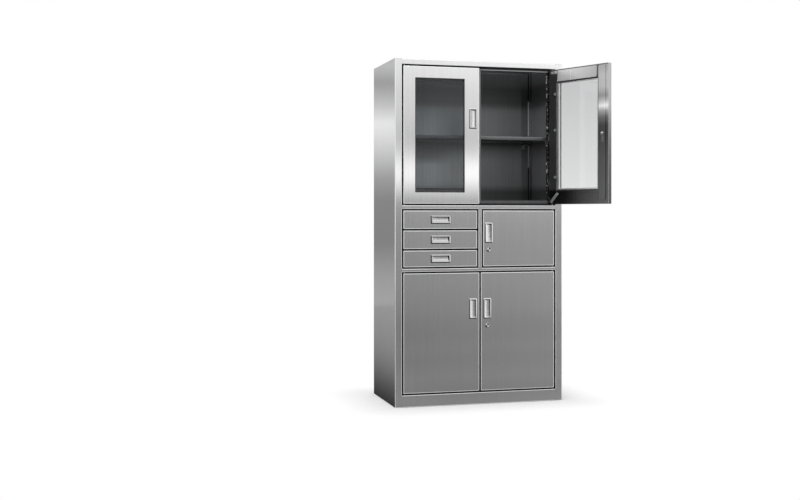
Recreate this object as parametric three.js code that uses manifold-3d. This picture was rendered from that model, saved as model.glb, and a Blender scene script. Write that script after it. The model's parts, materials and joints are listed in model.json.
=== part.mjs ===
// Stainless steel medical cabinet: two glass doors over three drawers and a locker, with two
// panel doors below. Millimetres, +Z up, origin on the floor under the middle of the carcass,
// front towards -Y. Every door and drawer is shut except the right glass door, which stands open.
import * as THREE from "three";
import { mergeVertices } from "three/addons/utils/BufferGeometryUtils.js";
import Module from "manifold-3d";

// Carcass
const cabinetWidth = 900;
const cabinetDepth = 450;
const plinthHeight = 62;
const lowerOpeningHeight = 616;
const middleOpeningHeight = 298;
const upperOpeningHeight = 706;
const lowerRailHeight = 18;
const upperRailHeight = 21;
const topRailHeight = 29;
const stileWidth = 38;
const stileLip = 18;
const partitionWidth = 19;
const sheet = 1.2; // wall of the folded carcass sheets
const bendRadius = 4; // outside radius of every carcass fold
const topStopHeight = 14; // flange that a door's top edge shuts against
const doorSillHeight = 12; // step that a panel door's bottom edge shuts against
const glassSillHeight = 25; // the same step behind the glass doors
const rearFlange = 20;
const baseLip = 20; // foot of the plinth, folded back along the floor
const baseChannelWidth = 25;

// Clearances
const fit = 0.3; // between pieces that are fastened or seated together
const doorGap = 5; // round every door and drawer front
const stopGap = 3; // between a shut door and its stops
const shelfSideGap = 2;
const runnerPlay = 0.5; // above a drawer's flange in its runner
const runnerTipGap = 2; // between a runner's ledges and the drawer box
const camGap = 0.6; // between a lock's cam and the back of its door

// Doors and drawer fronts
const doorThickness = 22;
const doorRecess = 1; // of a door's face behind the face of the stiles
const doorSheet = 1.2;
const doorCorner = 5.5;
const doorEdge = 3.5; // rounding of the folded front edges
const hingeStileWidth = 63;
const freeStileWidth = 80;
const glassRailHeight = 59;
const windowReturn = 6; // depth of the fold round a window
const windowCorner = 3;
const paneThickness = 4;
const paneLap = 8; // of the pane past the window and past the retainer's opening
const retainerHingeWidth = 44;
const retainerFreeWidth = 65;
const retainerTopHeight = 63;
const retainerBottomHeight = 69;
const beadWidth = 9; // of the raised rim round the retainer's opening
const beadRise = 3;
const lockStileMargin = 19; // from the free edge to the raised lock stile behind a glass door
const lockStileRise = 6;
const meetingReach = 14; // of the left glass door's strip behind the right one
const innerPanelReturn = 8;
const openAngle = 113; // degrees that the right glass door stands open

// Pivots of the doors
const pivotInset = 8; // from the hinge edge
const pinRadius = 3;
const pinHeadRadius = 4.5;
const pinHeadThickness = 2;
const pinReach = 11; // into the door, past its folded edge
const pinPlay = 0.3;

// Dished pulls with a raised rim
const pullLength = 104;
const pullWidth = 42;
const pullRise = 3;
const pullRimLap = 4; // of the rim over the skin round the cup
const pullRimWidth = 6; // from the rim's outer edge to the dish
const pullCorner = 5;
const pullEdge = 2; // rounding of the rim's front edges
const dishDepth = 6.5;
const dishThumbSlope = 16; // run of the dish's easy wall, from mouth to floor
const dishGripSlope = 4; // run of the steep wall that the fingertips hook behind
const dishEndSlope = 5;
const dishRound = 4; // where the easy wall meets the floor
const dishWall = 2.5; // of metal under the dish's floor
const pullInset = 36; // from a door's free edge to the pull's centre
const lockerPullInset = 32; // the same on the locker door
const glassPullRaise = 88; // of the pull above the middle of its door
const lockerPullRaise = 29;
const lowerPullRaise = 118;

// Cam locks
const lockDrop = 86; // from the pull's centre down to the lock
const lockRadius = 8;
const lockHeadRadius = 10;
const lockHeadRise = 2.5;
const lockPlay = 0.4;
const camReach = 45;
const camWidth = 14;
const camThickness = 2;
const camCorner = 3.5;
const keySlotLength = 9;
const keySlotWidth = 1.8;
const keySlotDepth = 1.5;
const keeperMargin = 4; // of the keeper slot in the partition round the cam's swing

// Drawers
const bottomDrawerDrop = 9; // that the bottom front is shorter than the other two
const boxSheet = 1.2;
const boxBelow = 14; // from a front's lower edge to the box's underside
const boxAbove = 18; // from a front's upper edge to the box's rim
const boxRearGap = 25; // between a shut drawer and the back panel
const runnerReach = 13; // from the side of the bay to the drawer box
const runnerFlange = 8;
const runnerThickness = 1.5;
const runnerMargin = 25; // of a runner's web above and below its flanges

// Shelf on slotted uprights
const frontUprightReach = 40; // of the front uprights past the stiles
const rearUprightWidth = 50;
const uprightDepth = 30;
const slotPitch = 25;
const slotWidth = 4;
const slotHeight = 14;
const slotMargin = 10; // from an upright's inner edge to its slots
const slotEndMargin = 25; // from an upright's ends to the middle of its end slots
const shelfSlot = 11; // the slot, counted from below, that the shelf hangs from
const shelfSetback = 55; // of the shelf's front edge behind the stiles' face
const shelfLip = 20;
const shelfReturn = 12;
const clipWidth = 22;
const clipThickness = 2;
const clipLength = 45;
const clipHeight = 24;
const tongueWidth = 3;
const tongueHeight = 10;

// Places that follow from the sizes above
const frontY = -cabinetDepth / 2;
const backY = cabinetDepth / 2;
const halfWidth = cabinetWidth / 2;
const openingHalf = halfWidth - stileWidth;
const wallInner = halfWidth - sheet;
const stopY = frontY + doorRecess + doorThickness + stopGap;
const stopBackY = stopY + sheet;
const backPanelFront = backY - 2 * sheet - fit;
const insideBend = Math.max(bendRadius - sheet, 0);
const lowerBottom = plinthHeight;
const lowerTop = lowerBottom + lowerOpeningHeight;
const middleBottom = lowerTop + lowerRailHeight;
const middleTop = middleBottom + middleOpeningHeight;
const upperBottom = middleTop + upperRailHeight;
const upperTop = upperBottom + upperOpeningHeight;
const cabinetHeight = upperTop + topRailHeight;
const bottomDeckTop = lowerBottom + doorSillHeight;
const lowerDeckTop = middleBottom + doorSillHeight;
const upperDeckTop = upperBottom + glassSillHeight;
const doorFront = frontY + doorRecess;
const doorBack = doorFront + doorThickness;
const pivotY = frontY + bendRadius + fit + pinHeadRadius; // clear of the rails' folds
const cupDepth = dishDepth + dishWall;
const panCorner = Math.max(doorCorner - doorSheet, 0); // inside a folded front's corners

// Finishes
const brushedSteel = { color: 0xb9bbbd, roughness: 0.38, metalness: 1 };
const innerSteel = { color: 0xa4a6a8, roughness: 0.45, metalness: 1 };
const polishedSteel = { color: 0xd4d6d8, roughness: 0.22, metalness: 1 };
const clearGlass = { color: 0xdfe9e6, roughness: 0.05, metalness: 0, transparent: true, opacity: 0.35 };

// Fineness of rounded shapes
const foldSegments = 3;
const pullEdgeSteps = 2;
const roundSides = 16;
const pinSides = 12;
const overcut = 1; // that a cutting shape runs past the face it opens

const wasm = await Module();
wasm.setup();

// A closed geometry as a solid that can be joined and cut
function solidOf(geometry) {
  const bare = geometry.clone();
  bare.deleteAttribute("normal");
  bare.deleteAttribute("uv");
  const merged = mergeVertices(bare);
  const mesh = new wasm.Mesh({
    numProp: 3,
    vertProperties: new Float32Array(merged.attributes.position.array),
    triVerts: new Uint32Array(merged.index.array),
  });
  return new wasm.Manifold(mesh);
}

function geometryOf(solid) {
  const mesh = solid.getMesh();
  const geometry = new THREE.BufferGeometry();
  geometry.setAttribute("position", new THREE.BufferAttribute(mesh.vertProperties.slice(), 3));
  geometry.setIndex(new THREE.BufferAttribute(mesh.triVerts.slice(), 1));
  geometry.computeVertexNormals();
  return geometry;
}

function join(first, ...others) {
  return others.reduce((sum, solid) => sum.add(solid), first);
}

function cut(first, ...others) {
  return others.reduce((rest, solid) => rest.subtract(solid), first);
}

// A copy of a solid, turned about Y and moved in the plane of the front
function placed(solid, turn, x, z) {
  const geometry = geometryOf(solid);
  geometry.rotateY(turn);
  geometry.translate(x, 0, z);
  return solidOf(geometry);
}

function block(x0, x1, y0, y1, z0, z1) {
  const geometry = new THREE.BoxGeometry(x1 - x0, y1 - y0, z1 - z0);
  geometry.translate((x0 + x1) / 2, (y0 + y1) / 2, (z0 + z1) / 2);
  return solidOf(geometry);
}

// A round bar standing along Z
function uprightRod(x, y, z0, z1, radius, sides) {
  const geometry = new THREE.CylinderGeometry(radius, radius, z1 - z0, sides);
  geometry.rotateX(Math.PI / 2);
  geometry.translate(x, y, (z0 + z1) / 2);
  return solidOf(geometry);
}

// A round bar lying along Y
function levelRod(x, y0, y1, z, radius, sides) {
  const geometry = new THREE.CylinderGeometry(radius, radius, y1 - y0, sides);
  geometry.translate(x, (y0 + y1) / 2, z);
  return solidOf(geometry);
}

// A closed outline through corners [a, b, radius], each rounded by its own radius
function outline(corners) {
  const shape = new THREE.Shape();
  const points = corners.map(([a, b]) => new THREE.Vector2(a, b));
  const pointNear = (from, to, distance) => {
    const step = to.clone().sub(from).setLength(distance);
    return from.clone().add(step);
  };
  points.forEach((corner, i) => {
    const radius = corners[i][2] ?? 0;
    const before = points.at(i - 1);
    const after = points[(i + 1) % points.length];
    const start = radius > 0 ? pointNear(corner, before, radius) : corner;
    if (i === 0) shape.moveTo(start.x, start.y);
    else shape.lineTo(start.x, start.y);
    if (radius > 0) {
      const end = pointNear(corner, after, radius);
      shape.quadraticCurveTo(corner.x, corner.y, end.x, end.y);
    }
  });
  shape.closePath();
  return shape;
}

function rectangle(a0, a1, b0, b1, radius = 0) {
  return outline([[a0, b0, radius], [a1, b0, radius], [a1, b1, radius], [a0, b1, radius]]);
}

// The section of a folded sheet. The points lie on one face, and the thickness is laid to the
// left of the path, or to the right where it is negative.
function foldedSection(points, thickness) {
  const wall = Math.abs(thickness);
  const inside = Math.max(bendRadius - wall, 0);
  const corners = points.map(([a, b]) => new THREE.Vector2(a, b));
  const leftOf = (from, to) => {
    const along = to.clone().sub(from).normalize();
    return new THREE.Vector2(-along.y, along.x);
  };
  const face = [];
  const other = [];
  corners.forEach((corner, i) => {
    const isEnd = i === 0 || i === corners.length - 1;
    const before = i > 0 ? leftOf(corners[i - 1], corner) : leftOf(corner, corners[1]);
    const after = i < corners.length - 1 ? leftOf(corner, corners[i + 1]) : before;
    const shift = before.clone().add(after).multiplyScalar(thickness / (1 + before.dot(after)));
    const turnsToWall = before.cross(after) * thickness > 0;
    const faceRadius = turnsToWall ? bendRadius : inside;
    const otherRadius = turnsToWall ? inside : bendRadius;
    face.push([corner.x, corner.y, isEnd ? 0 : faceRadius]);
    other.unshift([corner.x + shift.x, corner.y + shift.y, isEnd ? 0 : otherRadius]);
  });
  return outline([...face, ...other]);
}

function extruded(shape, length) {
  const options = { depth: length, bevelEnabled: false, curveSegments: foldSegments };
  return new THREE.ExtrudeGeometry(shape, options);
}

// A section drawn in (y, z), carried from x0 to x1
function alongX(shape, x0, x1) {
  const geometry = extruded(shape, x1 - x0);
  geometry.rotateX(Math.PI / 2);
  geometry.rotateZ(Math.PI / 2);
  geometry.translate(x0, 0, 0);
  return solidOf(geometry);
}

// A section drawn in (x, z), carried from y0 to y1
function alongY(shape, y0, y1) {
  const geometry = extruded(shape, y1 - y0);
  geometry.rotateX(Math.PI / 2);
  geometry.translate(0, y1, 0);
  return solidOf(geometry);
}

// A section drawn in (x, y), carried from z0 to z1
function alongZ(shape, z0, z1) {
  const geometry = extruded(shape, z1 - z0);
  geometry.translate(0, 0, z0);
  return solidOf(geometry);
}

// A block whose front is drawn in by an edge that is `deep` along Y and `wide` across the face
function edgedBlock(shape, y0, y1, deep, wide, steps) {
  if (deep <= 0 || wide <= 0) return alongY(shape, y0, y1);
  const length = y1 - y0;
  const geometry = new THREE.ExtrudeGeometry(shape, {
    depth: length,
    bevelThickness: deep,
    bevelSize: wide,
    bevelOffset: -wide,
    bevelSegments: steps,
    curveSegments: foldSegments,
  });
  geometry.rotateX(Math.PI / 2);
  geometry.translate(0, y0 + deep + length, 0);
  const reach = cabinetWidth + cabinetDepth + cabinetHeight;
  const behind = block(-reach, reach, y1, y1 + 3 * deep, -reach, reach);
  return cut(solidOf(geometry), behind);
}

const cabinet = new THREE.Group();

function piece(group, name, solid, finish) {
  const mesh = new THREE.Mesh(geometryOf(solid), new THREE.MeshStandardMaterial(finish));
  mesh.name = name;
  group.add(mesh);
  return mesh;
}

// Bottom and top of each rail across the front
const rails = [
  [0, lowerBottom],
  [lowerTop, middleBottom],
  [middleTop, upperBottom],
  [upperTop, cabinetHeight - sheet - fit],
];

// Side panels: one sheet each, folded into the front stile and a rear flange. Where a rail meets
// the stile, weld metal that is ground flush fills the stile's rounded fold.
function sidePanel(side) {
  const section = foldedSection([
    [side * (halfWidth - rearFlange), backY],
    [side * halfWidth, backY],
    [side * halfWidth, frontY],
    [side * openingHalf, frontY],
    [side * openingHalf, stopY],
    [side * (openingHalf + stileLip), stopY],
  ], -side * sheet);
  const weldEnds = [side * openingHalf, side * (openingHalf + bendRadius)];
  const weldLeft = Math.min(...weldEnds);
  const weldRight = Math.max(...weldEnds);
  const weldBack = frontY + bendRadius;
  const welds = rails.map(([low, high]) => block(weldLeft, weldRight, frontY, weldBack, low, high));
  return join(alongZ(section, 0, cabinetHeight - sheet - fit), ...welds);
}

piece(cabinet, "left_side_panel", sidePanel(-1), brushedSteel);
piece(cabinet, "right_side_panel", sidePanel(1), brushedSteel);

const backHalf = wallInner - insideBend - fit;
const backTop = cabinetHeight - sheet - fit;
const backPanel = block(-backHalf, backHalf, backPanelFront, backPanelFront + sheet, 0, backTop);
piece(cabinet, "back_panel", backPanel, brushedSteel);

// Holes for the pivot pins in a rail's face
const leftPivotX = -openingHalf + doorGap + pivotInset;
const rightPivotX = openingHalf - doorGap - pivotInset;
function pinHole(x, railFace) {
  const reach = pinHeadThickness + sheet;
  return uprightRod(x, pivotY, railFace - reach, railFace + reach, pinRadius + pinPlay, pinSides);
}

// Top panel: the roof, folded down into the top rail and the doors' stop
const railHalf = openingHalf - fit;
const topSection = foldedSection([
  [stopY, upperTop - topStopHeight],
  [stopY, upperTop],
  [frontY, upperTop],
  [frontY, cabinetHeight],
  [backY, cabinetHeight],
], -sheet);
const roofUnder = cabinetHeight - sheet;
const roofFront = frontY + bendRadius;
const roof = block(-halfWidth, halfWidth, roofFront, backY, roofUnder, cabinetHeight);
const stileCaps = [-1, 1].map((side) => {
  const ends = [side * railHalf, side * halfWidth];
  return block(Math.min(...ends), Math.max(...ends), frontY, roofFront, roofUnder, cabinetHeight);
});
const topPanel = cut(
  join(alongX(topSection, -railHalf, railHalf), roof, ...stileCaps),
  pinHole(leftPivotX, upperTop),
  pinHole(rightPivotX, upperTop),
);
piece(cabinet, "top_panel", topPanel, brushedSteel);

// Decks: each is one sheet whose front is folded into a rail, with wings behind the stiles
const deckRear = backPanelFront - fit;
function deck(frontPath, deckTop, holes, welds) {
  const section = foldedSection([
    ...frontPath,
    [stopY, deckTop],
    [deckRear, deckTop],
    [deckRear, deckTop - rearFlange],
  ], -sheet);
  const wingHalf = wallInner - fit;
  const wingFront = stopBackY + bendRadius;
  const wingRear = deckRear - bendRadius;
  const wings = block(-wingHalf, wingHalf, wingFront, wingRear, deckTop - sheet, deckTop);
  return cut(join(alongX(section, -railHalf, railHalf), wings, ...welds), ...holes);
}

function railPath(bottom, top) {
  return [
    [stopY, bottom - topStopHeight],
    [stopY, bottom],
    [frontY, bottom],
    [frontY, top],
    [stopY, top],
  ];
}

const plinthPath = [
  [frontY + baseLip, 0],
  [frontY, 0],
  [frontY, plinthHeight],
  [stopY, plinthHeight],
];
// Weld metal that fills a rail's rounded fold above or below the partition's post
const partitionHalf = partitionWidth / 2;
function postWeld(low, high) {
  return block(-partitionHalf, partitionHalf, frontY, frontY + bendRadius, low, high);
}
const lowerWeld = postWeld(middleBottom - bendRadius, middleBottom);
const upperWeld = postWeld(middleTop, middleTop + bendRadius);

const lowerPairHoles = [pinHole(leftPivotX, lowerBottom), pinHole(rightPivotX, lowerBottom)];
piece(cabinet, "bottom_deck", deck(plinthPath, bottomDeckTop, lowerPairHoles, []), brushedSteel);

const lowerDeckHoles = [
  pinHole(leftPivotX, lowerTop),
  pinHole(rightPivotX, lowerTop),
  pinHole(rightPivotX, middleBottom),
];
const lowerRail = railPath(lowerTop, middleBottom);
const lowerDeck = deck(lowerRail, lowerDeckTop, lowerDeckHoles, [lowerWeld]);
piece(cabinet, "lower_deck", lowerDeck, brushedSteel);

const upperDeckHoles = [
  pinHole(rightPivotX, middleTop),
  pinHole(leftPivotX, upperBottom),
  pinHole(rightPivotX, upperBottom),
];
const upperRail = railPath(middleTop, upperBottom);
const upperDeck = deck(upperRail, upperDeckTop, upperDeckHoles, [upperWeld]);
piece(cabinet, "upper_deck", upperDeck, brushedSteel);

// Base frame: three channels from front to back, tied together at the rear
const baseTop = bottomDeckTop - sheet - fit;
const baseFront = Math.max(frontY + baseLip, stopBackY + insideBend) + fit;
const baseRear = deckRear - sheet - insideBend - fit;
function baseChannel(centre) {
  const near = centre - baseChannelWidth / 2;
  const far = centre + baseChannelWidth / 2;
  const section = foldedSection([[far, 0], [near, 0], [near, baseTop], [far, baseTop]], -sheet);
  return alongY(section, baseFront, baseRear);
}
const baseSide = openingHalf - baseChannelWidth;
const baseTie = block(-baseSide, baseSide, baseRear - sheet, baseRear, 0, baseTop);
const baseFrame = join(baseChannel(-baseSide), baseChannel(0), baseChannel(baseSide), baseTie);
piece(cabinet, "base_frame", baseFrame, innerSteel);

// Partition between the drawers and the locker, open at the back, notched round the two rails,
// with a keeper slot for the locker's cam
const partitionRear = deckRear - rearFlange;
const partitionSection = foldedSection([
  [-partitionHalf, partitionRear],
  [-partitionHalf, frontY],
  [partitionHalf, frontY],
  [partitionHalf, partitionRear],
], sheet);
const middleCentre = (middleBottom + middleTop) / 2;
const lockerLockZ = middleCentre + lockerPullRaise - lockDrop;
const panelCamFront = doorBack + camGap;
const partitionTop = upperDeckTop - sheet - fit;
const notchHalf = partitionWidth;
const notchFront = stopY - insideBend - fit;
const notchRear = stopBackY + insideBend + fit;
const flangeNotch = middleTop - topStopHeight - fit;
const partition = cut(
  alongZ(partitionSection, middleBottom + fit, partitionTop),
  block(-notchHalf, notchHalf, notchFront, backY, middleBottom, lowerDeckTop + fit),
  block(-notchHalf, notchHalf, frontY - overcut, notchRear, middleTop - fit, upperDeckTop),
  block(-notchHalf, notchHalf, notchFront, stopBackY + fit, flangeNotch, upperDeckTop),
  block(
    0,
    notchHalf,
    panelCamFront - keeperMargin / 2,
    panelCamFront + camThickness + keeperMargin,
    lockerLockZ - camReach,
    lockerLockZ + camWidth / 2 + keeperMargin,
  ),
);
piece(cabinet, "centre_partition", partition, brushedSteel);

// Slotted uprights of the upper compartment
const uprightBottom = upperDeckTop + fit;
const uprightTop = cabinetHeight - sheet - fit;
const firstSlot = uprightBottom + slotEndMargin;
const slotCount = Math.floor((upperTop - slotEndMargin - firstSlot) / slotPitch) + 1;
const uprightWall = wallInner - fit;
const frontUprightInner = openingHalf - frontUprightReach;
const rearUprightInner = uprightWall - rearUprightWidth;
const frontUprightY = stopBackY + fit;
const rearUprightY = backPanelFront - fit;

function upright(side, inner, faceY, inward) {
  const section = foldedSection([
    [side * inner, faceY],
    [side * uprightWall, faceY],
    [side * uprightWall, faceY + inward * uprightDepth],
  ], side * inward * sheet);
  const slots = [];
  const slotX = side * (inner + slotMargin);
  for (let i = 0; i < slotCount; i += 1) {
    const z = firstSlot + i * slotPitch;
    slots.push(block(
      slotX - slotWidth / 2,
      slotX + slotWidth / 2,
      faceY - 2 * sheet,
      faceY + 2 * sheet,
      z - slotHeight / 2,
      z + slotHeight / 2,
    ));
  }
  return cut(alongZ(section, uprightBottom, uprightTop), ...slots);
}

// Shelf and the clips that hook into the uprights under its corners
const shelfSlotZ = firstSlot + shelfSlot * slotPitch;
const clipTop = shelfSlotZ + clipHeight / 2;
const shelfBottom = clipTop + fit;
const shelfTop = shelfBottom + shelfLip;
const shelfFront = frontY + shelfSetback;
const shelfRear = rearUprightY - sheet - clipThickness - 2 * fit;
const shelfSection = foldedSection([
  [shelfFront + shelfReturn, shelfBottom],
  [shelfFront, shelfBottom],
  [shelfFront, shelfTop],
  [shelfRear, shelfTop],
  [shelfRear, shelfBottom],
  [shelfRear - shelfReturn, shelfBottom],
], -sheet);
const shelfHalf = uprightWall - sheet - shelfSideGap;
piece(cabinet, "upper_shelf", alongX(shelfSection, -shelfHalf, shelfHalf), innerSteel);

function shelfClip(side, inner, faceY, inward) {
  const x = side * (inner + slotMargin);
  const between = (a, b) => [Math.min(a, b), Math.max(a, b)];
  const plateStart = faceY + inward * (sheet + fit);
  const plateEnd = plateStart + inward * clipThickness;
  const ledgeEnd = plateStart + inward * clipLength;
  const tongueEnd = faceY - inward * fit;
  const bottom = clipTop - clipHeight;
  const left = x - clipWidth / 2;
  const right = x + clipWidth / 2;
  const ledgeUnder = clipTop - clipThickness;
  const plate = block(left, right, ...between(plateStart, plateEnd), bottom, clipTop);
  const ledge = block(left, right, ...between(plateStart, ledgeEnd), ledgeUnder, clipTop);
  const tongue = block(
    x - tongueWidth / 2,
    x + tongueWidth / 2,
    ...between(tongueEnd, plateEnd),
    shelfSlotZ - tongueHeight / 2,
    shelfSlotZ + tongueHeight / 2,
  );
  return join(plate, ledge, tongue);
}

for (const [sideName, side] of [["left", -1], ["right", 1]]) {
  const rows = [
    ["front", frontUprightInner, frontUprightY, 1],
    ["rear", rearUprightInner, rearUprightY, -1],
  ];
  for (const [rowName, inner, faceY, inward] of rows) {
    const place = `${rowName}_${sideName}`;
    piece(cabinet, `${place}_upright`, upright(side, inner, faceY, inward), innerSteel);
    piece(cabinet, `${place}_shelf_clip`, shelfClip(side, inner, faceY, inward), polishedSteel);
  }
}

// Dished pull: a raised rim round a dish, set through a hole in the skin. One long wall of the
// dish is easy and the other steep. Upright on a door, the easy wall is on the left.
function pullOutline(x, z, across, along, radius) {
  return rectangle(x - across / 2, x + across / 2, z - along / 2, z + along / 2, radius);
}

function uprightPull() {
  const skin = doorFront - fit;
  const rimFront = skin - pullRise;
  const floorY = skin + dishDepth;
  const cupWidth = pullWidth - 2 * pullRimLap;
  const cupLength = pullLength - 2 * pullRimLap;
  const rimOutline = pullOutline(0, 0, pullWidth, pullLength, pullCorner);
  const rim = edgedBlock(rimOutline, rimFront, skin, pullEdge, pullEdge, pullEdgeSteps);
  const cup = alongY(pullOutline(0, 0, cupWidth, cupLength, 0), skin - fit, skin + cupDepth);
  const mouthHalf = pullWidth / 2 - pullRimWidth;
  const mouthReach = pullLength / 2 - pullRimWidth;
  const floorReach = mouthReach - dishEndSlope;
  const openFront = rimFront - overcut;
  const acrossDish = outline([
    [-mouthHalf, openFront],
    [-mouthHalf, rimFront],
    [-mouthHalf + dishThumbSlope, floorY, dishRound],
    [mouthHalf - dishGripSlope, floorY],
    [mouthHalf, rimFront],
    [mouthHalf, openFront],
  ]);
  const alongDish = outline([
    [openFront, -mouthReach],
    [openFront, mouthReach],
    [rimFront, mouthReach],
    [floorY, floorReach],
    [floorY, -floorReach],
    [rimFront, -mouthReach],
  ]);
  const dish = alongZ(acrossDish, -pullLength, pullLength);
  return cut(join(rim, cup), dish.intersect(alongX(alongDish, -pullWidth, pullWidth)));
}

const doorPull = uprightPull();
const levelTurn = -Math.PI / 2; // lays a pull level, with its easy wall below

function pullHole(x, z, across, along) {
  const hole = 2 * (fit - pullRimLap);
  const holeOutline = pullOutline(x, z, across + hole, along + hole, 0);
  return alongY(holeOutline, doorFront - overcut, doorFront + doorSheet + overcut);
}

// A door or drawer front: a skin folded back along all four edges, open behind
function foldedPan(x0, x1, z0, z1) {
  const outer = rectangle(x0, x1, z0, z1, doorCorner);
  const inner = rectangle(x0 + doorSheet, x1 - doorSheet, z0 + doorSheet, z1 - doorSheet, panCorner);
  const innerEdge = doorEdge - doorSheet;
  const body = edgedBlock(outer, doorFront, doorBack, doorEdge, doorEdge, foldSegments);
  const hollowFront = doorFront + doorSheet;
  const hollowBack = doorBack + overcut;
  const hollow = edgedBlock(inner, hollowFront, hollowBack, innerEdge, innerEdge, foldSegments);
  return cut(body, hollow);
}

// Cam lock: head, barrel and cam turn together, with the cam hanging down when unlocked
function camLock(x, z, camFront) {
  const headBack = doorFront - fit;
  const headFront = headBack - lockHeadRise;
  const camBack = camFront + camThickness;
  const half = camWidth / 2;
  const camOutline = outline([
    [x - half, z + half, camCorner],
    [x - half, z - camReach, camCorner],
    [x + half, z - camReach, camCorner],
    [x + half, z + half, camCorner],
  ]);
  const keySlot = block(
    x - keySlotWidth / 2,
    x + keySlotWidth / 2,
    headFront - overcut,
    headFront + keySlotDepth,
    z - keySlotLength / 2,
    z + keySlotLength / 2,
  );
  const whole = join(
    levelRod(x, headFront, headBack, z, lockHeadRadius, roundSides),
    levelRod(x, headBack - fit, camBack, z, lockRadius, roundSides),
    alongY(camOutline, camFront, camBack),
  );
  return cut(whole, keySlot);
}

function lockHole(x, z) {
  const reach = doorBack + lockStileRise + overcut;
  return levelRod(x, doorFront - overcut, reach, z, lockRadius + lockPlay, roundSides);
}

// Pivot pin, riveted through a rail's face and reaching into the door's folded edge
function pivotPin(x, railFace, towardsDoor) {
  const headNear = railFace - towardsDoor * (sheet + fit);
  const headFar = headNear - towardsDoor * pinHeadThickness;
  const tip = railFace + towardsDoor * (doorGap + doorSheet + pinReach);
  const span = (a, b) => [Math.min(a, b), Math.max(a, b)];
  const head = uprightRod(x, pivotY, ...span(headFar, headNear), pinHeadRadius, pinSides);
  const shaft = uprightRod(x, pivotY, ...span(headFar, tip), pinRadius, pinSides);
  return join(head, shaft);
}

// What every hung door shares. `hinge` is -1 for a door hung on its left edge and 1 on its right.
function doorPlan(name, hinge, x0, x1, bottom, top, pullRaise, inset, hasLock) {
  const z0 = bottom + doorGap;
  const z1 = top - doorGap;
  const freeX = hinge > 0 ? x0 : x1;
  const handX = freeX + hinge * inset;
  const handZ = (z0 + z1) / 2 + pullRaise;
  const pivotX = hinge > 0 ? x1 - pivotInset : x0 + pivotInset;
  const lockZ = handZ - lockDrop;
  return { name, hinge, x0, x1, z0, z1, bottom, top, handX, handZ, pivotX, lockZ, hasLock };
}

function pivotHoles(door) {
  const { pivotX, z0, z1 } = door;
  const radius = pinRadius + pinPlay;
  const reach = 2 * doorSheet;
  return [
    uprightRod(pivotX, pivotY, z0 - reach, z0 + reach, radius, pinSides),
    uprightRod(pivotX, pivotY, z1 - reach, z1 + reach, radius, pinSides),
  ];
}

// Hangs a door's pieces on its pivot, turned open by an angle in degrees
function hangDoor(door, angle, solids) {
  const leaf = new THREE.Group();
  leaf.position.set(door.pivotX, pivotY, 0);
  leaf.rotation.z = THREE.MathUtils.degToRad(door.hinge * angle);
  for (const [name, solid, finish] of solids) {
    const mesh = piece(leaf, name, solid, finish);
    mesh.position.set(-door.pivotX, -pivotY, 0);
  }
  cabinet.add(leaf);
  piece(cabinet, `${door.name}_top_pin`, pivotPin(door.pivotX, door.top, -1), polishedSteel);
  piece(cabinet, `${door.name}_bottom_pin`, pivotPin(door.pivotX, door.bottom, 1), polishedSteel);
}

function lockHoles(door) {
  return door.hasLock ? [lockHole(door.handX, door.lockZ)] : [];
}

function handPieces(door, lockName, camFront) {
  const { handX, handZ, lockZ } = door;
  const solids = [[`${door.name}_pull`, placed(doorPull, 0, handX, handZ), polishedSteel]];
  if (door.hasLock) solids.push([lockName, camLock(handX, lockZ, camFront), polishedSteel]);
  return solids;
}

// Left and right edges of an upright band that is measured from the hinge edge and the free edge
function bandBetween(door, fromHinge, fromFree) {
  const { hinge, x0, x1 } = door;
  return hinge > 0 ? [x0 + fromFree, x1 - fromHinge] : [x0 + fromHinge, x1 - fromFree];
}

// Left and right edges of an upright band beside the free edge
function bandAtFreeEdge(door, near, far) {
  const { hinge, x0, x1 } = door;
  return hinge > 0 ? [x0 + near, x0 + far] : [x1 - far, x1 - near];
}

// Raised channel behind the free stile, which stops clear of the carcass's stops
function lockStile(door) {
  const [bx0, bx1] = bandAtFreeEdge(door, lockStileMargin, retainerFreeWidth);
  const bz0 = door.bottom + glassSillHeight + stopGap;
  const bz1 = door.top - topStopHeight - stopGap;
  const back = doorBack + lockStileRise;
  const bend = Math.min(bendRadius, lockStileRise);
  const channel = (left, right, front, rear, radius) =>
    outline([[left, front], [right, front], [right, rear, radius], [left, rear, radius]]);
  const outer = channel(bx0, bx1, doorBack - doorSheet, back, bend);
  const inner = channel(
    bx0 + doorSheet,
    bx1 - doorSheet,
    doorBack - doorSheet - overcut,
    back - doorSheet,
    Math.max(bend - doorSheet, 0),
  );
  const hollow = alongZ(inner, bz0 + doorSheet, bz1 - doorSheet);
  return { body: alongZ(outer, bz0, bz1), hollow };
}

// Strip on the left glass door that closes the gap behind the right one
function meetingStrip(door) {
  const edge = doorSheet + fit;
  const stripFront = doorBack + fit;
  const stripBack = stripFront + doorSheet;
  const rootLeft = door.x1 - lockStileMargin;
  const rootRight = door.x1 - edge;
  const low = door.z0 + edge + panCorner;
  const high = door.z1 - edge - panCorner;
  const root = block(rootLeft, rootRight, doorBack - doorSheet, stripBack, low, high);
  const strip = block(rootLeft, door.x1 + meetingReach, stripFront, stripBack, low, high);
  return join(root, strip);
}

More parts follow.
